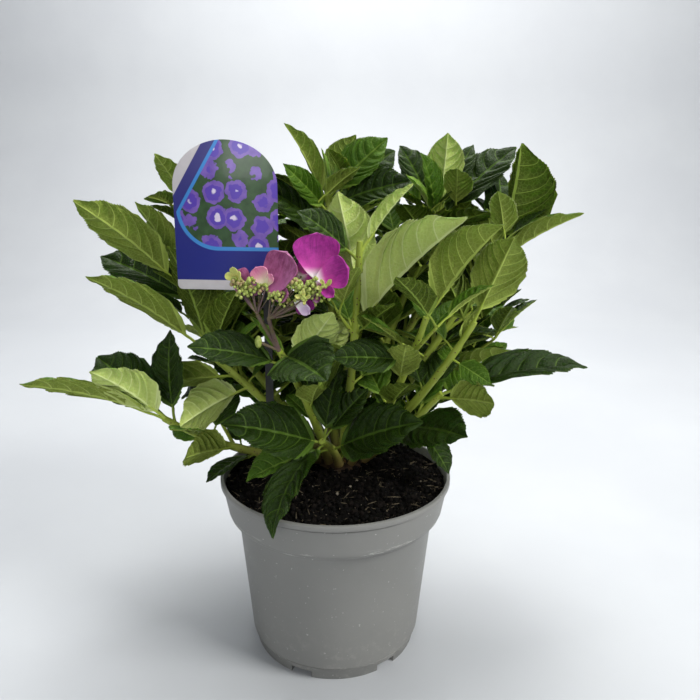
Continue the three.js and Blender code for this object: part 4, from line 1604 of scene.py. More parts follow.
@dataclass
class LeafPattern:
    """The net of faces of a blade: rows that follow its side veins, and columns from midrib to edge.

    Each row of faces is either a narrow vein or a stretch between two veins, which rises like a
    quilt. The edge is cut into forward teeth.
    """

    veins: int = 6
    between: int = 6
    columns: tuple[float, ...] = (0.0, 0.05, 0.17, 0.34, 0.52, 0.7, 0.87, 1.0)
    vein_width: float = 0.009
    lean: float = 0.56
    quilt: float = 0.032
    tooth: float = 0.045
    thickness: float = 0.4
    rib: float = 1.2
    swell: float = 0.78
    taper: float = 0.88
    point: float = 0.5
    slim_from: float = 95.0
    first_vein: float = 0.04
    vein_reach: float = 0.72
    last_row: float = 0.985

    def __post_init__(self) -> None:
        """Lays out the rows, the columns and the faces once for all leaves."""
        starts = [self.first_vein + self.vein_reach * (k / (self.veins - 1)) for k in range(self.veins)]
        rows = [(0.0, 0.0, True)]
        low = 0.0
        for vein in starts + [1.0]:
            high = vein - self.vein_width / 2 if vein < 1 else self.last_row
            for step in range(1, self.between + 1):
                share = step / self.between
                rows.append((mix(low, high, share), math.sin(math.pi * share), step % 2 == 0))
            if vein < 1:
                low = vein + self.vein_width / 2
                rows.append((low, 0.0, True))
        self.rows, self.rise, self.toothed = map(np.array, zip(*rows))
        self.sides = np.array([-column for column in reversed(self.columns[1:])] + list(self.columns))
        self.faces, self.parts = self.net()

    def net(self) -> tuple[np.ndarray, np.ndarray]:
        """Makes the faces of both sides of the blade and says which part each belongs to.

        Returns:
            The faces, each of four points, and the part of each face.
        """
        rows, cols = len(self.rows), len(self.sides)
        upper = np.arange(rows * cols).reshape(rows, cols)
        lower = upper.copy()
        inner = (rows - 2, cols - 2)
        lower[1:-1, 1:-1] = rows * cols + np.arange(inner[0] * inner[1]).reshape(inner)
        narrow = np.diff(self.rows) < 1.5 * self.vein_width
        by_rib = np.abs(self.sides[:-1] + self.sides[1:]) < 1.1 * self.columns[1]
        faces, parts = [], []
        for i in range(rows - 1):
            for k in range(cols - 1):
                vein = bool(narrow[i] or by_rib[k])
                faces.append((upper[i, k], upper[i, k + 1], upper[i + 1, k + 1], upper[i + 1, k]))
                parts.append(LeafPart.UPPER_VEIN if vein else LeafPart.UPPER)
                faces.append((lower[i, k], lower[i + 1, k], lower[i + 1, k + 1], lower[i, k + 1]))
                parts.append(LeafPart.LOWER_VEIN if vein else LeafPart.LOWER)
        return np.array(faces), np.array(parts)

    def outline(self, blade: np.ndarray) -> np.ndarray:
        """Works out a full oval with a drawn-out tip.

        Args:
            blade: Shares of the blade, from its base to its tip.

        Returns:
            The blade's width at each, over its greatest width.
        """
        widest = self.swell / (self.swell + self.taper)
        most = widest**self.swell * (1 - widest) ** self.taper
        form = blade**self.swell * (1 - blade) ** self.taper / most
        return form * (1 - self.point * np.clip((blade - 0.8) / 0.2, 0.0, 1.0) ** 1.6)

    def blade(self, leaf: Leaf) -> np.ndarray:
        """Works out the points of one leaf's blade.

        Args:
            leaf: The leaf.

        Returns:
            The points, upper side first.
        """
        side = self.sides[None, :]
        away = np.abs(side)
        rows = self.rows[:, None]
        lean = self.lean * np.minimum(1.0, 0.12 + rows / 0.12) * (1 - rows) ** 1.1
        edge = away >= 1
        tooth = np.where(self.toothed[:, None], 1.0, -1.0) * edge * self.tooth
        bend = 0.36 * away + 0.64 * away**2.4
        share = np.clip(rows + lean * bend + 0.25 * tooth * (1 - rows), 0.0, 0.9995)
        stalk = leaf.petiole / leaf.length
        flat = stalk + (1 - stalk) * share
        middle, right, upper, blade = leaf.frame(flat.ravel())
        long = leaf.length - leaf.petiole
        slim = min(1.0, self.slim_from / leaf.length) ** 0.9
        half = 0.5 * leaf.width_share * leaf.breadth * slim * long * self.outline(blade)
        half = np.maximum(half, 0.25 + 0.9 * (1 - blade) ** 4)
        out = np.broadcast_to(side, share.shape).ravel()
        crease = math.radians(leaf.crease)
        spread = half * out * (1 + tooth.ravel()) * math.cos(crease)
        away_out = np.abs(out)
        slope = math.tan(math.radians(leaf.fold)) * math.cos(crease) + math.sin(crease)
        fold = half * (1.3 * away_out - 0.3 * away_out**3) * slope
        shaped = np.minimum(1.0, away / 0.22) * (1 - away**5)
        quilt = self.quilt * long * (self.rise[:, None] * shaped).ravel() * np.minimum(1.0, half / 12)
        wave = 0.012 * long * (away**3 * np.sin(self.rows[:, None] * 19 + leaf.roll)).ravel()
        top = middle + upper * (fold + quilt + wave)[:, None] + right * spread[:, None]
        taper = (1 - 0.75 * blade).reshape(share.shape)
        rib = self.rib * taper * np.clip(1 - away / 0.12, 0.0, 1.0)
        ridge = 0.4 * taper * (self.rise[:, None] < 0.01) * (1 - away)
        depth = self.thickness + rib + ridge
        under = top - upper * depth.ravel()[:, None]
        under = under.reshape(*share.shape, 3)[1:-1, 1:-1]
        return np.vstack([top, under.reshape(-1, 3)])

    @staticmethod
    def stalk(leaf: Leaf) -> Form:
        """Makes the leaf's six-sided stalk, which runs on a little under the blade.

        Args:
            leaf: The leaf.

        Returns:
            The points and the faces, each of four points.
        """
        end = leaf.petiole / leaf.length
        shares = np.array([0.0, 0.35 * end, 0.7 * end, end, end + 0.07, end + 0.16])
        small = 0.72 if leaf.length < SMALL_LEAF else 1.0
        radii = np.array([1.75, 1.35, 1.25, 1.35, 1.0, 0.3]) * small
        sunk = np.array([0.0, 0.0, 0.0, 0.5, 1.0, 0.8])
        middle, right, upper, _ = leaf.frame(shares)
        sides = 6
        turns = math.tau * np.arange(sides) / sides
        across = right[:, None] * np.cos(turns)[None, :, None]
        high = upper[:, None] * np.sin(turns)[None, :, None]
        ring = (across + high) * radii[:, None, None]
        points = (middle - upper * sunk[:, None])[:, None] + ring
        first = np.arange(sides)
        second = (first + 1) % sides
        faces = []
        for i in range(len(shares) - 1):
            low, high_row = sides * i, sides * (i + 1)
            faces.append(np.stack([low + first, low + second, high_row + second, high_row + first], 1))
        last = sides * (len(shares) - 1)
        caps = ((3, 2, 1, 0), (5, 4, 3, 0), (0, 1, 2, 3), (0, 3, 4, 5))
        faces.append(np.array(caps) + np.array([0, 0, last, last])[:, None])
        return points.reshape(-1, 3), np.vstack(faces)


@dataclass
class Foliage:
    """All the leaves of the shrub, joined into one piece for each shoot.

    The leaves that the source gives one by one have the finest net of faces.
    """

    large: LeafPattern = field(default_factory=LeafPattern)
    middle: LeafPattern = field(
        default_factory=lambda: LeafPattern(between=4, columns=(0.0, 0.05, 0.2, 0.42, 0.66, 0.85, 1.0))
    )
    small: LeafPattern = field(
        default_factory=lambda: LeafPattern(between=2, columns=(0.0, 0.05, 0.3, 0.62, 1.0))
    )
    small_length: float = 56.0

    def materials(self) -> list[Material]:
        """Returns the materials of all leaf parts, tone by tone."""
        return [leaf_finish(tone, part).material() for tone in PaintedLightTone for part in LeafPart]

    def add(self, pile: MeshPile, leaf: Leaf, given: bool) -> None:
        """Adds one leaf's blade and stalk to a pile.

        Args:
            pile: The pile.
            leaf: The leaf.
            given: Whether it is one of those that the source gives one by one.
        """
        pattern = self.small if leaf.length < self.small_length else self.large if given else self.middle
        first = len(LeafPart) * leaf.tone
        pile.add(pattern.blade(leaf), pattern.faces, first + pattern.parts)
        points, faces = pattern.stalk(leaf)
        pile.add(points, faces, first + LeafPart.STALK)

    def build(self) -> None:
        """Builds the leaves of every shoot."""
        materials = self.materials()
        for shoot in SHOOTS:
            pile = MeshPile()
            for k, leaf in enumerate(shoot.grown):
                self.add(pile, leaf, k < len(shoot.leaves))
            piece = pile.make("foliage_" + shoot.name, materials)
            finish_piece(piece, "leaves", "leaves_" + shoot.name, sharp=60)


# Canes, stump and buds


@dataclass
class Canes:
    """The green canes and side twigs, swollen where leaves stand and rough with small spots."""

    bark: BarkFinish = BarkFinish(
        name="green_bark", base=(146, 164, 58), other=(166, 180, 76), gloss=0.5, patch=55.0,
        cells=500.0, net=0.3, depth=0.0003, strength=0.5, specular=0.4,
    )
    swell: float = 0.16
    joint: float = 4.0
    relief: float = 0.0006
    relief_size: float = 0.004

    def radius(self, shoot: Shoot, at: float) -> float:
        """Works out a cane's radius, with its swollen joints.

        Args:
            shoot: The shoot that it belongs to.
            at: The share of the way up the cane.

        Returns:
            The radius.
        """
        place = shoot.cane().point(at)
        near = min(float(np.linalg.norm(place - leaf.base)) for leaf in shoot.grown)
        return Cane.radius(at) * (1 + self.swell * math.exp(-((near / self.joint) ** 2)))

    def build(self) -> None:
        """Builds one piece for each shoot."""
        texture = bpy.data.textures.new("bark_relief", "CLOUDS")
        texture.noise_scale = self.relief_size
        for shoot in SHOOTS:
            pieces = [tube("cane", shoot.cane(), lambda at, s=shoot: self.radius(s, at), 24)]
            for base, tip in shoot.twigs:
                pieces.append(tube("twig", straight(base, tip), lambda at: mix(1.9, 1.3, at)))
            piece = join(pieces, "cane_" + shoot.name)
            bumps = {"texture": texture, "texture_coords": "LOCAL", "strength": self.relief}
            apply_modifier(piece, "DISPLACE", **bumps)
            nodes = ["bough_" + shoot.name] if shoot.limb > 0 else []
            finish_piece(piece, "canes", *nodes, finish=self.bark, sharp=50)


@dataclass
class Stump:
    """The brown woody stump, with short dry stubs of old canes and small red-green buds."""

    wood: Finish = Finish(
        name="old_wood", base=(50, 37, 27), other=(92, 74, 54), gloss=0.85, patch=120.0,
        amount=0.8, cells=900.0, grain=1200.0, net=0.4, depth=0.0006, strength=0.9, specular=0.2,
    )
    bud: Finish = Finish(
        name="young_bud", base=(112, 96, 44), other=(124, 52, 40), gloss=0.5, patch=300.0, strength=0.3,
    )
    stubs: int = 9
    bud_count: int = 14

    def build(self) -> None:
        """Builds the stump as one piece and its buds as another."""
        middle = np.array([*STUMP_CENTRE, SOIL_LEVEL])
        deselect()
        bpy.ops.mesh.primitive_uv_sphere_add(segments=56, ring_count=28, radius=1.0)
        mound = bpy.context.object
        place = Vector(middle + (0, 0, 1.5)) * MM
        mound.scale = Vector((STUMP_RADIUS - 2.0, STUMP_RADIUS - 2.0, STUMP_HEIGHT - 4.0)) * MM
        mound.location = place
        place_in_mesh(mound)
        for vertex in mound.data.vertices:
            offset = vertex.co - place
            rough = noise.noise(vertex.co * 90) * 0.16 + noise.noise(vertex.co * 260) * 0.08
            vertex.co = place + offset * (0.9 + rough)
        pieces = [mound]
        dice = Seeded(31)
        for k in range(self.stubs):
            turn = 360 * k / self.stubs + dice.around(12)
            foot = middle + (0, 0, 3) + heading_of(turn, 0) * mix(9, 22, dice.draw())
            lean = heading_of(turn, 62 + dice.around(16))
            tip = foot + lean * mix(8, 14, dice.draw())
            thick = mix(2.2, 3.4, dice.draw())
            pieces.append(tube("stub", straight(foot, tip), lambda at, t=thick: t * (1 - 0.12 * at), 3))
        stump = join(pieces, "woody_stump")
        finish_piece(stump, "stump", "stump", finish=self.wood, sharp=50)
        pile = MeshPile()
        points, faces = ball(2)
        for _ in range(self.bud_count):
            turn = 360 * dice.draw()
            reach = mix(12, 25, dice.draw())
            size = mix(1.4, 2.6, dice.draw())
            place = middle + heading_of(turn, 0) * reach + (0, 0, mix(6, 11, dice.draw()))
            pile.add(points * (size, size, 1.5 * size) + place, faces)
        buds = pile.make("stump_buds", [self.bud.material()])
        finish_piece(buds, "stump", sharp=80)


# Flower head


class Bloom(Enum):
    """Kinds of floret, from deep magenta to pale."""

    MAGENTA = "magenta"
    PURPLE = "purple"
    MAUVE = "mauve"
    PALE = "pale"
    WHITE = "white"
    LIME = "lime"


SEPAL_FINISHES = {
    Bloom.MAGENTA: SepalFinish(
        name="sepal_magenta", base=(178, 40, 150), other=(140, 26, 124), vein=(104, 14, 98),
        amount=0.9, patch=260.0,
    ),
    Bloom.PURPLE: SepalFinish(
        name="sepal_purple", base=(132, 30, 120), other=(110, 24, 104), vein=(84, 16, 84),
        throat=(222, 204, 218), pale_end=0.55,
    ),
    Bloom.MAUVE: SepalFinish(
        name="sepal_mauve", base=(180, 98, 150), other=(140, 62, 108), vein=(108, 40, 84),
        throat=(150, 120, 110), pale_end=0.1, flush=(188, 104, 162), amount=0.9, patch=220.0,
        gloss=0.62, sheen=0.2,
    ),
    Bloom.PALE: SepalFinish(
        name="sepal_pale", base=(222, 132, 170), other=(232, 160, 186), vein=(200, 84, 140),
        throat=(236, 232, 190), pale_end=0.85, flush=(232, 160, 186),
    ),
    Bloom.WHITE: SepalFinish(
        name="sepal_white", base=(206, 182, 212), other=(224, 210, 226), vein=(170, 120, 180),
        throat=(236, 234, 226), pale_end=0.7, flush=(224, 210, 226),
    ),
    Bloom.LIME: SepalFinish(
        name="sepal_lime", base=(206, 206, 126), other=(184, 192, 88), vein=(176, 180, 84),
        throat=(176, 188, 74), pale_end=0.5, flush=(222, 206, 120),
    ),
}


@dataclass(frozen=True)
class Sepal:
    """One broad petal-like sepal: its turn round its floret in degrees, its length and its form."""

    turn: float
    size: float
    breadth: float = 0.6
    cup: float = 0.14
    lift: float = 0.0


@dataclass(frozen=True)
class Floret:
    """One floret: its place from the cane's top (right, towards the viewer, up) and its sepals."""

    at: Place
    faces: tuple[float, float]
    bloom: Bloom
    sepals: tuple[Sepal, ...]


def ring_of(size: float, spin: float) -> tuple[Sepal, ...]:
    """Returns four sepals round a floret."""
    return tuple(Sepal(spin + 90 * k, size * (1.0 if k % 2 == 0 else 0.86)) for k in range(4))


@dataclass
class FlowerHead:
    """The lacecap head: large outer florets, clusters of tight buds, and their forked stalks."""

    shoot: str = "front"
    forks: tuple[Place, ...] = ((-15, 14, 33), (-6, 14, 30))
    bud_reach: float = 5.4
    cluster: int = 16
    top_cluster: int = 9
    sepal_thickness: float = 0.0006
    floret_stalk: float = 0.6
    bud_stalk: float = 0.3
    florets: tuple[Floret, ...] = (
        Floret((32, 22, 62), (262, 16), Bloom.MAGENTA, (
            Sepal(90, 36, 0.78, 0.1), Sepal(17, 28, 0.7, 0.2, 1.4), Sepal(-42, 21, 0.34, 0.25, 0.6),
        )),
        Floret((39, 27, 57), (250, 20), Bloom.LIME, (
            Sepal(40, 8, 0.36, 0.4), Sepal(120, 6, 0.36, 0.4), Sepal(200, 6, 0.36, 0.4),
        )),
        Floret((23, 27, 48), (262, 10), Bloom.LIME, (
            Sepal(20, 6, 0.34, 0.3), Sepal(95, 7, 0.34, 0.3), Sepal(165, 7, 0.34, 0.3),
            Sepal(-80, 5, 0.34, 0.3),
        )),
        Floret((-4, 15, 48), (235, 24), Bloom.MAUVE, (
            Sepal(74, 37, 0.76, 0.14, 1.0), Sepal(8, 19, 0.5, 0.3, -4.0),
        )),
        Floret((-7, 18, 56), (250, 10), Bloom.PALE, (
            Sepal(118, 16, 0.72, 0.3), Sepal(58, 11, 0.5, 0.3, -0.8),
        )),
        Floret((15, 22, 46), (266, -8), Bloom.WHITE, (Sepal(-36, 16, 0.42, 0.3, 1.2),)),
        Floret((17, 20, 45), (266, -4), Bloom.PURPLE, (
            Sepal(-18, 15, 0.46, 0.2), Sepal(-66, 11, 0.46, 0.3),
        )),
        Floret((30, 20, 42), (275, 4), Bloom.PURPLE, (Sepal(66, 9, 0.5, 0.3), Sepal(150, 8, 0.5, 0.3))),
        Floret((-32, 12, 60), (240, 24), Bloom.LIME, (
            Sepal(100, 9, 0.6, 0.5), Sepal(30, 9, 0.6, 0.5), Sepal(160, 8, 0.6, 0.5),
        )),
        Floret((18, -14, 60), (80, 30), Bloom.MAGENTA, ring_of(19, 25)),
        Floret((-24, -10, 54), (110, 24), Bloom.MAUVE, ring_of(16, 50)),
    )
    buds: tuple[Place, ...] = (
        (-31, 12, 56), (-25, 13, 53), (-18, 15, 57), (-18, 14, 50), (-11, 15, 53), (-26, 14, 48),
        (-1, 18, 46), (5, 19, 47), (8, 18, 42), (15, 20, 57), (21, 22, 53), (28, 22, 56), (34, 23, 52),
        (25, 22, 48), (37, 22, 47),
        (-30, 2, 54), (-14, 2, 58), (2, 4, 56), (16, 4, 54), (-4, -8, 54), (10, -8, 52),
    )
    leaf_bud: Place = (-15, 12, 10)
    stalk: BarkFinish = BarkFinish(
        name="flower_stalk", base=(106, 82, 88), other=(118, 112, 72), gloss=0.55, patch=90.0,
        amount=0.8, cells=800.0, net=0.3, depth=0.00015, specular=0.35,
    )
    bud: Finish = Finish(
        name="flower_bud", base=(140, 160, 66), other=(190, 196, 112), gloss=0.45, vary=0.1, patch=400.0,
        amount=0.8, cells=1500.0, net=0.2, depth=0.0001, strength=0.3, glow=0.1,
    )
    old_bud: Finish = Finish(
        name="flower_bud_tinted", base=(150, 120, 96), other=(178, 178, 96), gloss=0.45, patch=500.0,
        amount=0.8, cells=1500.0, net=0.2, depth=0.0001, strength=0.3,
    )

    def place(self, at: Place) -> np.ndarray:
        """Returns a place given as right, towards the viewer and up from the cane's tip."""
        return tip_of(self.shoot) + np.array([at[0], -at[1], at[2]], float)

    def sepal_form(self, floret: Floret, sepal: Sepal) -> tuple[np.ndarray, np.ndarray]:
        """Works out one sepal: broad, softly cupped and folded along its middle.

        Args:
            floret: The floret that it belongs to.
            sepal: The sepal.

        Returns:
            The points as rows by columns, and for each its place across and along the sepal.
        """
        face = heading_of(*floret.faces)
        across = unit(np.cross((0.0, 0.0, 1.0), face))
        up = np.cross(face, across)
        angle = math.radians(sepal.turn)
        along = across * math.cos(angle) + up * math.sin(angle)
        side = np.cross(along, face)
        reach = np.linspace(0.03, 1.0, 19)[:, None]
        sway = np.linspace(-1.0, 1.0, 17)[None, :]
        half = 0.98 * reach**0.7 * np.clip(1 - reach**3.6, 0.0, 1.0) ** 0.5
        ruffle = 0.022 * np.sin(reach * 13 + sway * 3 + sepal.turn) * np.abs(sway) ** 2
        crease = -0.1 * (1 - np.abs(sway)) * reach * (1 - reach) * 2
        height = sepal.cup * reach**2 + crease + ruffle + 0.09 * sway**2 * half
        spread = half * sway * sepal.breadth
        ends = reach - 0.06 * sway**2 * reach**2
        points = (
            along * (ends * sepal.size)[..., None]
            + side * (spread * sepal.size)[..., None]
            + face * (height * sepal.size + sepal.lift)[..., None]
        )
        chart = np.stack([(sway + 1) / 2 * np.ones_like(reach), reach * np.ones_like(sway)], axis=-1)
        return self.place(floret.at) + points, chart

    def build_florets(self) -> None:
        """Builds the sepals of each kind of floret as one piece."""
        for bloom in Bloom:
            pile, charts = MeshPile(), []
            for floret in (one for one in self.florets if one.bloom is bloom):
                for sepal in floret.sepals:
                    points, chart = self.sepal_form(floret, sepal)
                    rows, cols = points.shape[:2]
                    grid = np.arange(rows * cols).reshape(rows, cols)
                    corners = (grid[:-1, :-1], grid[:-1, 1:], grid[1:, 1:], grid[1:, :-1])
                    pile.add(points.reshape(-1, 3), np.stack(corners, -1).reshape(-1, 4))
                    charts.append(chart.reshape(-1, 2))
            piece = pile.make("sepals_" + bloom.value, [SEPAL_FINISHES[bloom].material()])
            layer = piece.data.uv_layers.new(name=SEPAL_CHART)
            chart = np.vstack(charts)
            corners = np.zeros(len(piece.data.loops), np.int32)
            piece.data.loops.foreach_get("vertex_index", corners)
            layer.data.foreach_set("uv", chart[corners].astype(np.float32).ravel())
            apply_modifier(piece, "SOLIDIFY", thickness=self.sepal_thickness, offset=0.0)
            finish_piece(piece, "flowers", "flower_head", sharp=50)

    def build_buds(self) -> None:
        """Builds the tight buds, in small domes, and the middles of the florets."""
        pile, dice = MeshPile(), Seeded(11)
        points, faces = ball(2)
        for number, at in enumerate(self.buds):
            middle = self.place(at)
            for k in range(self.cluster):
                out = heading_of(SPIRAL * k, mix(86, -18, k / self.cluster))
                size = mix(1.0, 1.75, dice.draw())
                tinted = (number < 3 and dice.draw() < 0.35) or dice.draw() < 0.12
                reach = mix(0.72, 1.0, dice.draw()) * self.bud_reach
                pile.add(points * (size, size, size * 1.12) + middle + out * reach, faces, int(tinted))
        for floret in self.florets:
            middle = self.place(floret.at) + heading_of(*floret.faces) * 1.2
            for k in range(min(4, len(floret.sepals))):
                offset = heading_of(0, 90 * k) * 1.1
                pile.add(points * 1.5 + middle + offset, faces)
        pile.add(points * (3.0, 3.0, 5.4) + self.place(self.leaf_bud), faces)
        piece = pile.make("flower_buds", [self.bud.material(), self.old_bud.material()])
        finish_piece(piece, "flowers", "flower_head", sharp=80)

    def build_stalks(self) -> None:
        """Builds the main stalk, its fork and the stalk of each floret and bud cluster."""
        top = tip_of(self.shoot)
        forks = [self.place(fork) for fork in self.forks]
        pieces = []
        for fork in forks:
            bend = (top + fork) / 2 + (-1.5, 0.0, 2.0)
            trunk = Cane(top - (fork - top) * 0.05, bend, fork)
            pieces.append(tube("stalk", trunk, lambda at: mix(2.0, 1.6, at), 8))
        ends = [(self.place(floret.at), self.floret_stalk) for floret in self.florets]
        ends += [(self.place(at) - (0.0, 0.0, 1.0), self.bud_stalk) for at in self.buds]
        for end, thick in ends:
            fork = min(forks, key=lambda place: float(np.linalg.norm(place - end)))
            sag = 0.12 * float(np.linalg.norm((end - fork)[:2]))
            line = Cane(fork - (end - fork) * 0.02, (fork + end) / 2 - (0.0, 0.0, sag), end)
            pieces.append(tube("stalk", line, lambda at, t=thick: t * mix(1.45, 0.85, at), 6))
        pieces.append(tube("stalk", straight(top, self.place(self.leaf_bud)), lambda at: 1.2))
        piece = join(pieces, "flower_stalks")
        finish_piece(piece, "flowers", "flower_head", finish=self.stalk, sharp=60)

    def build_top_buds(self) -> None:
        """Builds the green bud clusters on the highest cane."""
        pile, dice = MeshPile(), Seeded(23)
        points, faces = ball(2)
        for middle in TOP_BUDS.places():
            for k in range(self.top_cluster):
                out = heading_of(SPIRAL * k, mix(88, 0, k / self.top_cluster))
                size = mix(1.0, 1.6, dice.draw())
                pile.add(points * size + middle + out * 0.75 * TOP_BUDS.bud, faces)
        piece = pile.make("top_buds", [self.bud.material()])
        finish_piece(piece, "leaves", "leaves_" + TOP_BUDS.shoot, sharp=80)

    def build(self) -> None:
        """Builds the whole head, and the bud clusters of the one that is still to open."""
        self.build_stalks()
        self.build_florets()
        self.build_buds()
        self.build_top_buds()


# Pot and peat


@dataclass
class NurseryPot:
    """The round grey pot with its deep collar, rolled rim and notched foot."""

    height: float = 168.4
    rim: float = 107.5
    wall: float = 1.8
    collar_height: float = 37.0
    collar_step: float = 9.5
    wall_top: float = 92.1
    wall_foot: float = 81.2
    foot_height: float = 13.4
    foot: float = 77.5
    foot_ring: float = 8.0
    centre_pad: float = 24.0
    lift: float = 3.0
    floor: float = 2.2
    notches: int = 6
    first_notch: float = 248.0
    notch_width: float = 20.0
    notch_depth: float = 26.0
    notch_height: float = 7.0
    segments: int = 160
    plastic: PotFinish = PotFinish(
        name="grey_plastic", base=(126, 126, 123), other=(134, 134, 131), vary=0.16, patch=14.0,
        cells=300.0, grain=2600.0, net=0.0, depth=0.0001, strength=0.35, specular=0.45,
    )

    def profile(self) -> list[tuple[float, float]]:
        """Lists the pot's rings, from the underside's pad to the inner floor.

        Returns:
            The radius and height of each.
        """
        collar = self.height - self.collar_height
        band = self.wall_top + self.collar_step
        inside = self.wall_foot - self.wall
        return [
            (self.centre_pad, 0.0),
            (self.centre_pad + 2, self.lift),
            (self.foot - self.foot_ring - 1, self.lift),
            (self.foot - self.foot_ring, 0.0),
            (self.foot - 0.8, 0.0),
            (self.foot, 1.0),
            (self.foot + 0.7, self.foot_height - 1.2),
            (self.foot + 1.4, self.foot_height - 0.3),
            (self.wall_foot - 0.2, self.foot_height),
            (self.wall_foot - 0.9, self.foot_height + 0.5),
            (self.wall_foot + 0.1, self.foot_height + 1.1),
            (mix(self.wall_foot, self.wall_top, 0.5), mix(self.foot_height, collar, 0.5)),
            (self.wall_top - 0.1, collar - 1.2),
            (self.wall_top + 0.5, collar - 0.2),
            (self.wall_top + 3, collar + 0.6),
            (self.wall_top + 5.8, collar + 2.0),
            (band - 1.6, collar + 4.5),
            (band - 0.5, collar + 7.4),
            (band, collar + 10.5),
            (mix(band, self.rim - 2.2, 0.5), mix(collar + 10.5, self.height - 6, 0.5)),
            (self.rim - 2.2, self.height - 6.6),
            (self.rim - 3.1, self.height - 6.0),
            (self.rim - 0.5, self.height - 5),
            (self.rim, self.height - 4),
            (self.rim, self.height - 1.2),
            (self.rim - 0.4, self.height - 0.3),
            (self.rim - 1.1, self.height),
            (self.rim - 3.0, self.height),
            (self.rim - 3.5, self.height - 0.6),
            (band - self.wall, collar + 11),
            (self.wall_top - self.wall, collar + 3),
            (inside, self.foot_height + 1),
            (self.foot - self.wall - 2, self.lift + self.floor),
        ]

    def build(self) -> None:
        """Builds the pot ring by ring from a disc, cuts the notches of its foot and dresses it."""
        rings = self.profile()
        pot = turned("nursery_pot", rings, self.segments)
        for k in range(self.notches):
            turn = math.radians(self.first_notch + 360 / self.notches * k)
            place = Vector((math.cos(turn), math.sin(turn), 0)) * self.foot * MM
            deselect()
            bpy.ops.mesh.primitive_cube_add(size=1.0, location=place, rotation=(0, 0, turn))
            block = bpy.context.object
            block.scale = Vector((self.notch_depth, self.notch_width, 2 * self.notch_height)) * MM
            place_in_mesh(block)
            apply_modifier(pot, "BOOLEAN", object=block, operation="DIFFERENCE", solver="EXACT")
            bpy.data.objects.remove(block)
        finish_piece(pot, "pot", "pot", finish=self.plastic, sharp=38)


def turned(name: str, rings: list[tuple[float, float]], segments: int) -> Piece:
    """Turns a closed round body by extruding and widening a disc from ring to ring.

    Args:
        name: Its name.
        rings: Radius and height of each ring in millimetres; the first and last are filled.
        segments: How many sides it has.

    Returns:
        The new object.
    """
    radius, height = rings[0]
    deselect()
    bpy.ops.mesh.primitive_circle_add(
        vertices=segments, radius=radius * MM, fill_type="NGON", location=(0, 0, height * MM),
    )
    piece = bpy.context.object
    piece.name = name
    place_in_mesh(piece)
    bpy.ops.object.mode_set(mode="EDIT")
    bpy.ops.mesh.select_all(action="SELECT")
    for wide, high in rings[1:]:
        move = {"value": (0.0, 0.0, (high - height) * MM)}
        bpy.ops.mesh.extrude_region_move(TRANSFORM_OT_translate=move)
        factor = wide / radius
        bpy.ops.transform.resize(value=(factor, factor, 1.0), center_override=(0.0, 0.0, high * MM))
        radius, height = wide, high
    bpy.ops.object.mode_set(mode="OBJECT")
    outward(piece)
    return piece


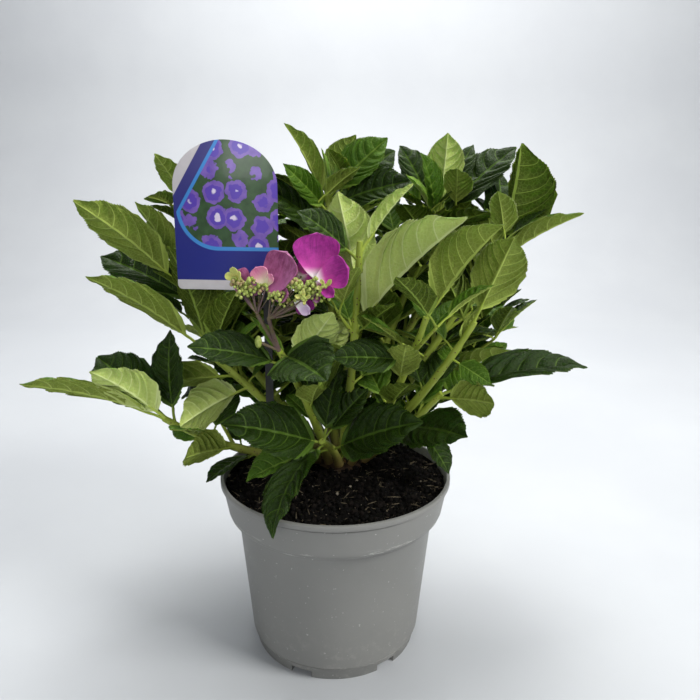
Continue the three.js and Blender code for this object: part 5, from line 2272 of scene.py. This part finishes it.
@dataclass
class Peat:
    """The dark peat in the pot: a lumpy bed and loose crumbs, chips and fibres on it."""

    level: float = SOIL_LEVEL
    relief: float = 3.5
    edge: float = 102.6
    gap: float = 0.5
    rings: int = 34
    crumbs: int = 5200
    fibres: float = 0.1
    grit: float = 0.012
    bed: Finish = Finish(
        name="moist_peat", base=(7, 6, 5), other=(14, 11, 9), gloss=0.85, vary=0.1, patch=160.0,
        amount=0.9, cells=500.0, grain=900.0, net=0.6, depth=0.0012, strength=1.0, specular=0.12,
    )
    colors: tuple[tuple[str, Color, Color], ...] = (
        ("peat_crumb_dark", (7, 6, 5), (15, 12, 10)),
        ("peat_crumb_brown", (17, 14, 12), (29, 23, 19)),
        ("peat_fibre", (84, 76, 62), (122, 112, 94)),
        ("pale_grit", (130, 122, 108), (164, 156, 140)),
    )

    def height(self, x: np.ndarray, y: np.ndarray) -> np.ndarray:
        """Works out the height of the bed, flat at the stump and lumpy away from it.

        Args:
            x: Places to the right, in millimetres.
            y: Places to the back.

        Returns:
            The height at each.
        """
        cx, cy = STUMP_CENTRE
        away = np.clip((np.hypot(x - cx, y - cy) - STUMP_RADIUS) / 22, 0.0, 1.0)
        flat = away * away * (3 - 2 * away)
        lump = np.sin(x * 0.085 + 1.1) * np.cos(y * 0.098 - 0.6) + 0.5 * np.sin((x - y) * 0.19)
        return self.level + self.relief * 0.55 * flat * lump

    def build_bed(self) -> None:
        """Builds the bed as a closed body that fills the pot up to its lumpy top."""
        pot = NurseryPot()
        collar = pot.height - pot.collar_height
        gap = self.gap
        rings = [
            (pot.foot - pot.wall - 3 - gap, pot.lift + pot.floor + gap),
            (pot.wall_foot - pot.wall - 2 * gap, pot.foot_height + 1),
            (pot.wall_top - pot.wall - 2 * gap, collar + 3),
            (pot.wall_top + pot.collar_step - pot.wall - 2 * gap, collar + 11 + gap),
            (self.edge - gap, self.level),
        ]
        rings += [(self.edge * (1 - k / self.rings), self.level) for k in range(1, self.rings)]
        bed = turned("peat_bed", rings, 150)
        for vertex in bed.data.vertices:
            if vertex.co.z > (self.level - 0.1) * MM:
                x, y = vertex.co.x / MM, vertex.co.y / MM
                rough = noise.noise(vertex.co * 130) * 3.0 + noise.noise(vertex.co * 420) * 1.6
                if math.hypot(x, y) < self.edge - 2:
                    vertex.co.z = (float(self.height(np.array(x), np.array(y))) + rough) * MM
        finish_piece(bed, "peat", "soil", finish=self.bed, sharp=60)

    def build_crumbs(self) -> None:
        """Scatters crumbs evenly over the bed."""
        pile, dice = MeshPile(), np.random.default_rng(5)
        points, faces = ball(1)
        for k in range(self.crumbs):
            reach = self.edge * math.sqrt(dice.random()) * 0.985
            turn = math.tau * dice.random()
            x, y = reach * math.cos(turn), reach * math.sin(turn)
            size = 0.6 + 2.4 * dice.random() ** 2.6
            form = points * size * dice.uniform(0.6, 1.25, (len(points), 3))
            kind = 0 if dice.random() < 0.62 else 1
            if dice.random() < self.fibres:
                form = form * np.array([5.5, 0.36, 0.36]) / size**0.5
                kind = 2
            elif dice.random() < self.grit:
                form = form * 0.7
                kind = 3
            spin = Matrix.Rotation(dice.uniform(0, math.tau), 3, "Z")
            tilt = Matrix.Rotation(dice.uniform(-0.6, 0.6), 3, "X")
            form = form @ np.array(spin @ tilt).T
            z = float(self.height(np.array(x), np.array(y)))
            rough = noise.noise(Vector((x, y, self.level)) * MM * 130) * 3.0
            pile.add(form + np.array([x, y, z + rough + 0.4 * size]), faces, kind)
        finishes = [
            Finish(
                name=name, base=base, other=other, gloss=0.88, patch=300.0, cells=900.0, depth=0.0004,
                strength=0.8, specular=0.12,
            )
            for name, base, other in self.colors
        ]
        piece = pile.make("peat_crumbs", [finish.material() for finish in finishes])
        finish_piece(piece, "peat", "soil")

    def build(self) -> None:
        """Builds the bed and its crumbs."""
        self.build_bed()
        self.build_crumbs()


# Plant label


@dataclass(frozen=True)
class CardFinish(Finish):
    """A printed card: blue ground, a light blue curve, a pale corner and a field of plain dots.

    The print is laid out on the card's own place, in millimetres from its lower right corner.
    """

    place: tuple[float, float] = (-49.0, -10.0)
    turn: float = -5.0
    width: float = 90.0
    bottom: float = 340.0
    greens: tuple[Color, Color] = ((20, 44, 26), (70, 104, 62))
    violets: tuple[Color, Color] = ((78, 52, 148), (150, 116, 206))
    ring: Color = (92, 66, 178)
    middle: Color = (226, 214, 236)
    blues: tuple[Color, Color] = ((22, 34, 130), (64, 62, 128))
    pales: tuple[Color, Color] = ((196, 190, 194), (216, 212, 214))
    curve: Color = (66, 140, 214)
    curve_foot: float = 70.0
    slant_foot: float = 66.0
    slant: float = 0.62
    curve_in: float = 38.0
    curve_reach: float = 33.0
    curve_width: float = 3.2
    border: float = 10.2
    pale_foot: float = 8.4

    def dots(self, nodes: Nodes, own: Socket, shade: Socket) -> Socket:
        """Draws the field of ringed violet dots on dark green.

        Args:
            nodes: The material's nodes.
            own: The place on the card.
            shade: Cloudy values.

        Returns:
            The field's colour.
        """
        waver = nodes.add("TexNoise", {"Vector": own, "Scale": 0.16, "Detail": 2.0})["Color"]
        shift = {0: waver, 1: (7.0, 7.0, 7.0), 2: own}
        moved = nodes.add("VectorMath", shift, operation="MULTIPLY_ADD")[0]
        away = nodes.cells(moved, 0.052, Randomness=0.6)
        green, violet = (nodes.blend(shade, *pair) for pair in (self.greens, self.violets))
        color = nodes.blend(nodes.span(away, 0.52, 0.5), green, violet)
        color = nodes.blend(nodes.span(away, 0.38, 0.34), color, self.ring)
        return nodes.blend(nodes.span(away, 0.17, 0.12), color, self.middle)

    def color(self, nodes: Nodes, plain: Socket) -> Socket:
        """Draws the print.

        Args:
            nodes: The material's nodes.
            plain: The patchy colour, which the print covers.

        Returns:
            The base colour.
        """
        inputs = {
            "Vector": nodes.here(),
            "Location": Vector((*self.place, self.bottom)) * MM,
            "Rotation": (0, 0, math.radians(self.turn)),
            "Scale": (MM, MM, MM),
        }
        own = nodes.add("Mapping", inputs, vector_type="TEXTURE")[0]
        across = nodes.maths("ADD", nodes.part(own, "X"), self.width)
        height = nodes.part(own, "Z")
        shade = nodes.clouds(own, 0.12, 3.0)
        rise = nodes.maths("MAXIMUM", nodes.maths("SUBTRACT", height, self.slant_foot), 0.0)
        line = nodes.maths("ADD", nodes.times(rise, self.slant), self.curve_in)
        side = nodes.maths("MAXIMUM", nodes.maths("SUBTRACT", line, across), 0.0)
        low = nodes.maths("MAXIMUM", nodes.maths("SUBTRACT", self.curve_foot, height), 0.0)
        square = nodes.maths("ADD", nodes.times(side, side), nodes.times(low, low))
        away = nodes.maths("SQRT", square)
        curve_end = self.curve_reach + self.curve_width
        ends = (self.curve_reach, curve_end, curve_end + self.border)
        inside, curve, blue = (nodes.span(away, end + 0.2, end - 0.4) for end in ends)
        pale = nodes.blend(shade, *self.pales)
        corner = nodes.times(nodes.maths("SUBTRACT", 1.0, blue), nodes.span(height, 70.0, 72.0))
        ground = nodes.blend(nodes.span(height, 10.0, 120.0), *self.blues)
        color = nodes.blend(corner, ground, pale)
        color = nodes.blend(curve, color, self.curve)
        color = nodes.blend(inside, color, self.dots(nodes, own, shade))
        foot = nodes.span(height, self.pale_foot + 0.2, self.pale_foot - 0.2)
        return nodes.blend(foot, color, pale)


@dataclass
class PlantLabel:
    """The arched picture card, printed with a plain design, on its black stake."""

    height: float = 125.0
    shoulder: float = 0.7
    thickness: float = 0.8
    corner: float = 4.2
    edge: float = 0.15
    print_finish: CardFinish = CardFinish(
        name="printed_card", base=(30, 40, 130), other=(36, 48, 140), gloss=0.34, vary=0.04,
        cells=200.0, grain=500.0, net=0.0, depth=0.00003, strength=0.2, coat=0.1,
    )
    stake_finish: Finish = Finish(
        name="black_plastic", base=(16, 16, 17), other=(26, 26, 27), gloss=0.45, cells=300.0,
        grain=2400.0, net=0.0, depth=0.00008, strength=0.3,
    )

    def build_card(self) -> None:
        """Builds the card from half a disc, drawn down to its foot, with rounded corners and edges."""
        printed = self.print_finish
        shoulder = self.height * self.shoulder
        deselect()
        bpy.ops.mesh.primitive_circle_add(vertices=128, radius=1.0, fill_type="NGON")
        card = bpy.context.object
        card.name = "label_card_printed"
        card.rotation_euler = (math.pi / 2, 0, 0)
        card.scale = Vector((printed.width / 2, self.height - shoulder, 1.0)) * MM
        card.location = Vector((-printed.width / 2, 0, shoulder)) * MM
        place_in_mesh(card)
        bpy.ops.object.mode_set(mode="EDIT")
        bpy.ops.mesh.select_all(action="SELECT")
        middle = (0.0, 0.0, shoulder * MM)
        bpy.ops.mesh.bisect(plane_co=middle, plane_no=(0, 0, 1), clear_inner=True, use_fill=False)
        bpy.ops.mesh.select_all(action="DESELECT")
        bpy.ops.object.mode_set(mode="OBJECT")
        for edge in card.data.edges:
            ends = [card.data.vertices[i].co.z for i in edge.vertices]
            edge.select = all(abs(z - shoulder * MM) < SAME_PLACE for z in ends)
        bpy.ops.object.mode_set(mode="EDIT")
        bpy.ops.mesh.select_mode(type="EDGE")
        down = {"value": (0.0, 0.0, -shoulder * MM)}
        bpy.ops.mesh.extrude_region_move(TRANSFORM_OT_translate=down)
        bpy.ops.object.mode_set(mode="OBJECT")
        for vertex in card.data.vertices:
            vertex.select = abs(vertex.co.z) < SAME_PLACE
        bpy.ops.object.mode_set(mode="EDIT")
        bpy.ops.mesh.select_mode(type="VERT")
        bpy.ops.mesh.bevel(offset=self.corner * MM, segments=8, affect="VERTICES")
        bpy.ops.object.mode_set(mode="OBJECT")
        outward(card)
        apply_modifier(card, "SOLIDIFY", thickness=self.thickness * MM, offset=0.0)
        apply_modifier(card, "BEVEL", width=self.edge * MM, segments=2, limit_method="ANGLE")
        card.rotation_euler = (0, 0, math.radians(printed.turn))
        x, y = printed.place
        card.location = Vector((x, y - self.thickness / 2, printed.bottom)) * MM
        place_in_mesh(card)
        finish_piece(card, "card", "label_card", finish=printed, sharp=30)

    def build(self) -> None:
        """Builds the card and dresses the stake."""
        self.build_card()
        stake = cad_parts["label_stake"]
        stake.data.materials.clear()
        stake.data.materials.append(self.stake_finish.material())


# Studio


@dataclass(frozen=True)
class AreaLight:
    """One soft light: its place, its size in metres, its power and its colour."""

    name: str
    place: Place
    size: float
    power: float
    color: tuple[float, float, float] = (1.0, 1.0, 1.0)
    aim: Place = (0.0, 0.03, 0.24)


@dataclass
class Studio:
    """The pale floor and wall, the soft lights and the camera."""

    camera_place: Place = (12.7, -548.0, 421.3)
    look_down: float = 13.97
    camera_roll: float = 0.44
    lens: float = 32.07
    sensor: float = 36.0
    floor_size: float = 8.0
    floor_forward: float = 1.6
    wall_height: float = 4.0
    wall_bend: float = 0.9
    room_light: float = 0.12
    paint: Finish = Finish(
        name="pale_floor", base=(188, 191, 195), other=(194, 197, 200), gloss=0.55, patch=3.0,
        cells=40.0, grain=120.0, net=0.0, depth=0.0002, strength=0.1,
    )
    lights: tuple[AreaLight, ...] = (
        AreaLight("key", (1.85, -0.9, 1.8), 0.9, 56.0, (1.0, 0.99, 0.96)),
        AreaLight("front", (-0.4, -2.0, 1.1), 0.9, 13.5),
        AreaLight("top", (-0.1, 0.3, 2.0), 0.9, 19.0, (1.0, 1.0, 0.98)),
        AreaLight("wall", (0.0, 1.3, 2.6), 1.6, 72.0, (1.0, 0.99, 0.98), (0.0, 2.4, 0.8)),
    )

    def build_floor(self) -> None:
        """Builds a pale floor that curves up into a wall behind the plant."""
        deselect()
        bpy.ops.mesh.primitive_plane_add(size=self.floor_size, location=(0, -self.floor_forward, 0))
        floor = bpy.context.object
        floor.name = "floor"
        place_in_mesh(floor)
        for edge in floor.data.edges:
            edge.select = all(floor.data.vertices[i].co.y > 0 for i in edge.vertices)
        for face in floor.data.polygons:
            face.select = False
        bpy.ops.object.mode_set(mode="EDIT")
        bpy.ops.mesh.select_mode(type="EDGE")
        rise = {"value": (0.0, 0.0, self.wall_height)}
        bpy.ops.mesh.extrude_region_move(TRANSFORM_OT_translate=rise)
        bpy.ops.object.mode_set(mode="OBJECT")
        apply_modifier(floor, "BEVEL", width=self.wall_bend, segments=16, limit_method="ANGLE")
        floor.data.materials.append(self.paint.material())
        smooth(floor, 40)

    def build_lights(self) -> None:
        """Builds the lights, each aimed at the plant but the wall light at the wall, and the room's soft
        light.
        """
        for light in self.lights:
            deselect()
            bpy.ops.object.light_add(type="AREA", location=light.place)
            lamp = bpy.context.object
            lamp.name = light.name
            lamp.data.size = light.size
            lamp.data.energy = light.power
            lamp.data.color = light.color
            away = Vector(light.place) - Vector(light.aim)
            lamp.rotation_euler = away.to_track_quat("Z", "Y").to_euler()
        world = bpy.data.worlds.new("room")
        world.use_nodes = True
        sky = next(node for node in world.node_tree.nodes if node.type == "BACKGROUND")
        sky.inputs["Color"].default_value = (0.98, 1.0, 1.0, 1.0)
        sky.inputs["Strength"].default_value = self.room_light
        bpy.context.scene.world = world

    def build_camera(self) -> None:
        """Places the camera at the viewing angle, with its small roll."""
        data = bpy.data.cameras.new("camera")
        data.lens = self.lens
        data.sensor_width = self.sensor
        data.clip_start = 0.01
        camera = bpy.data.objects.new("camera", data)
        bpy.context.scene.collection.objects.link(camera)
        pitch = Matrix.Rotation(math.radians(90 - self.look_down), 4, "X")
        roll = Matrix.Rotation(math.radians(self.camera_roll), 4, "Z")
        place = Matrix.Translation(Vector(self.camera_place) * MM)
        camera.matrix_world = place @ pitch @ roll
        bpy.context.scene.camera = camera
        bpy.context.scene.view_settings.view_transform = "Standard"

    def build(self) -> None:
        """Builds the floor, the lights and the camera."""
        self.build_floor()
        self.build_lights()
        self.build_camera()


def main() -> None:
    """Grows the shrub, builds every piece and sets up the studio."""
    logging.basicConfig(level=logging.INFO, format="%(message)s")
    Growth(Seeded(SEED)).grow()
    LOG.info("%d leaves", sum(len(shoot.grown) for shoot in SHOOTS))
    NurseryPot().build()
    Peat().build()
    Stump().build()
    Canes().build()
    Foliage().build()
    FlowerHead().build()
    PlantLabel().build()
    Studio().build()


if __name__ == "__main__":
    main()
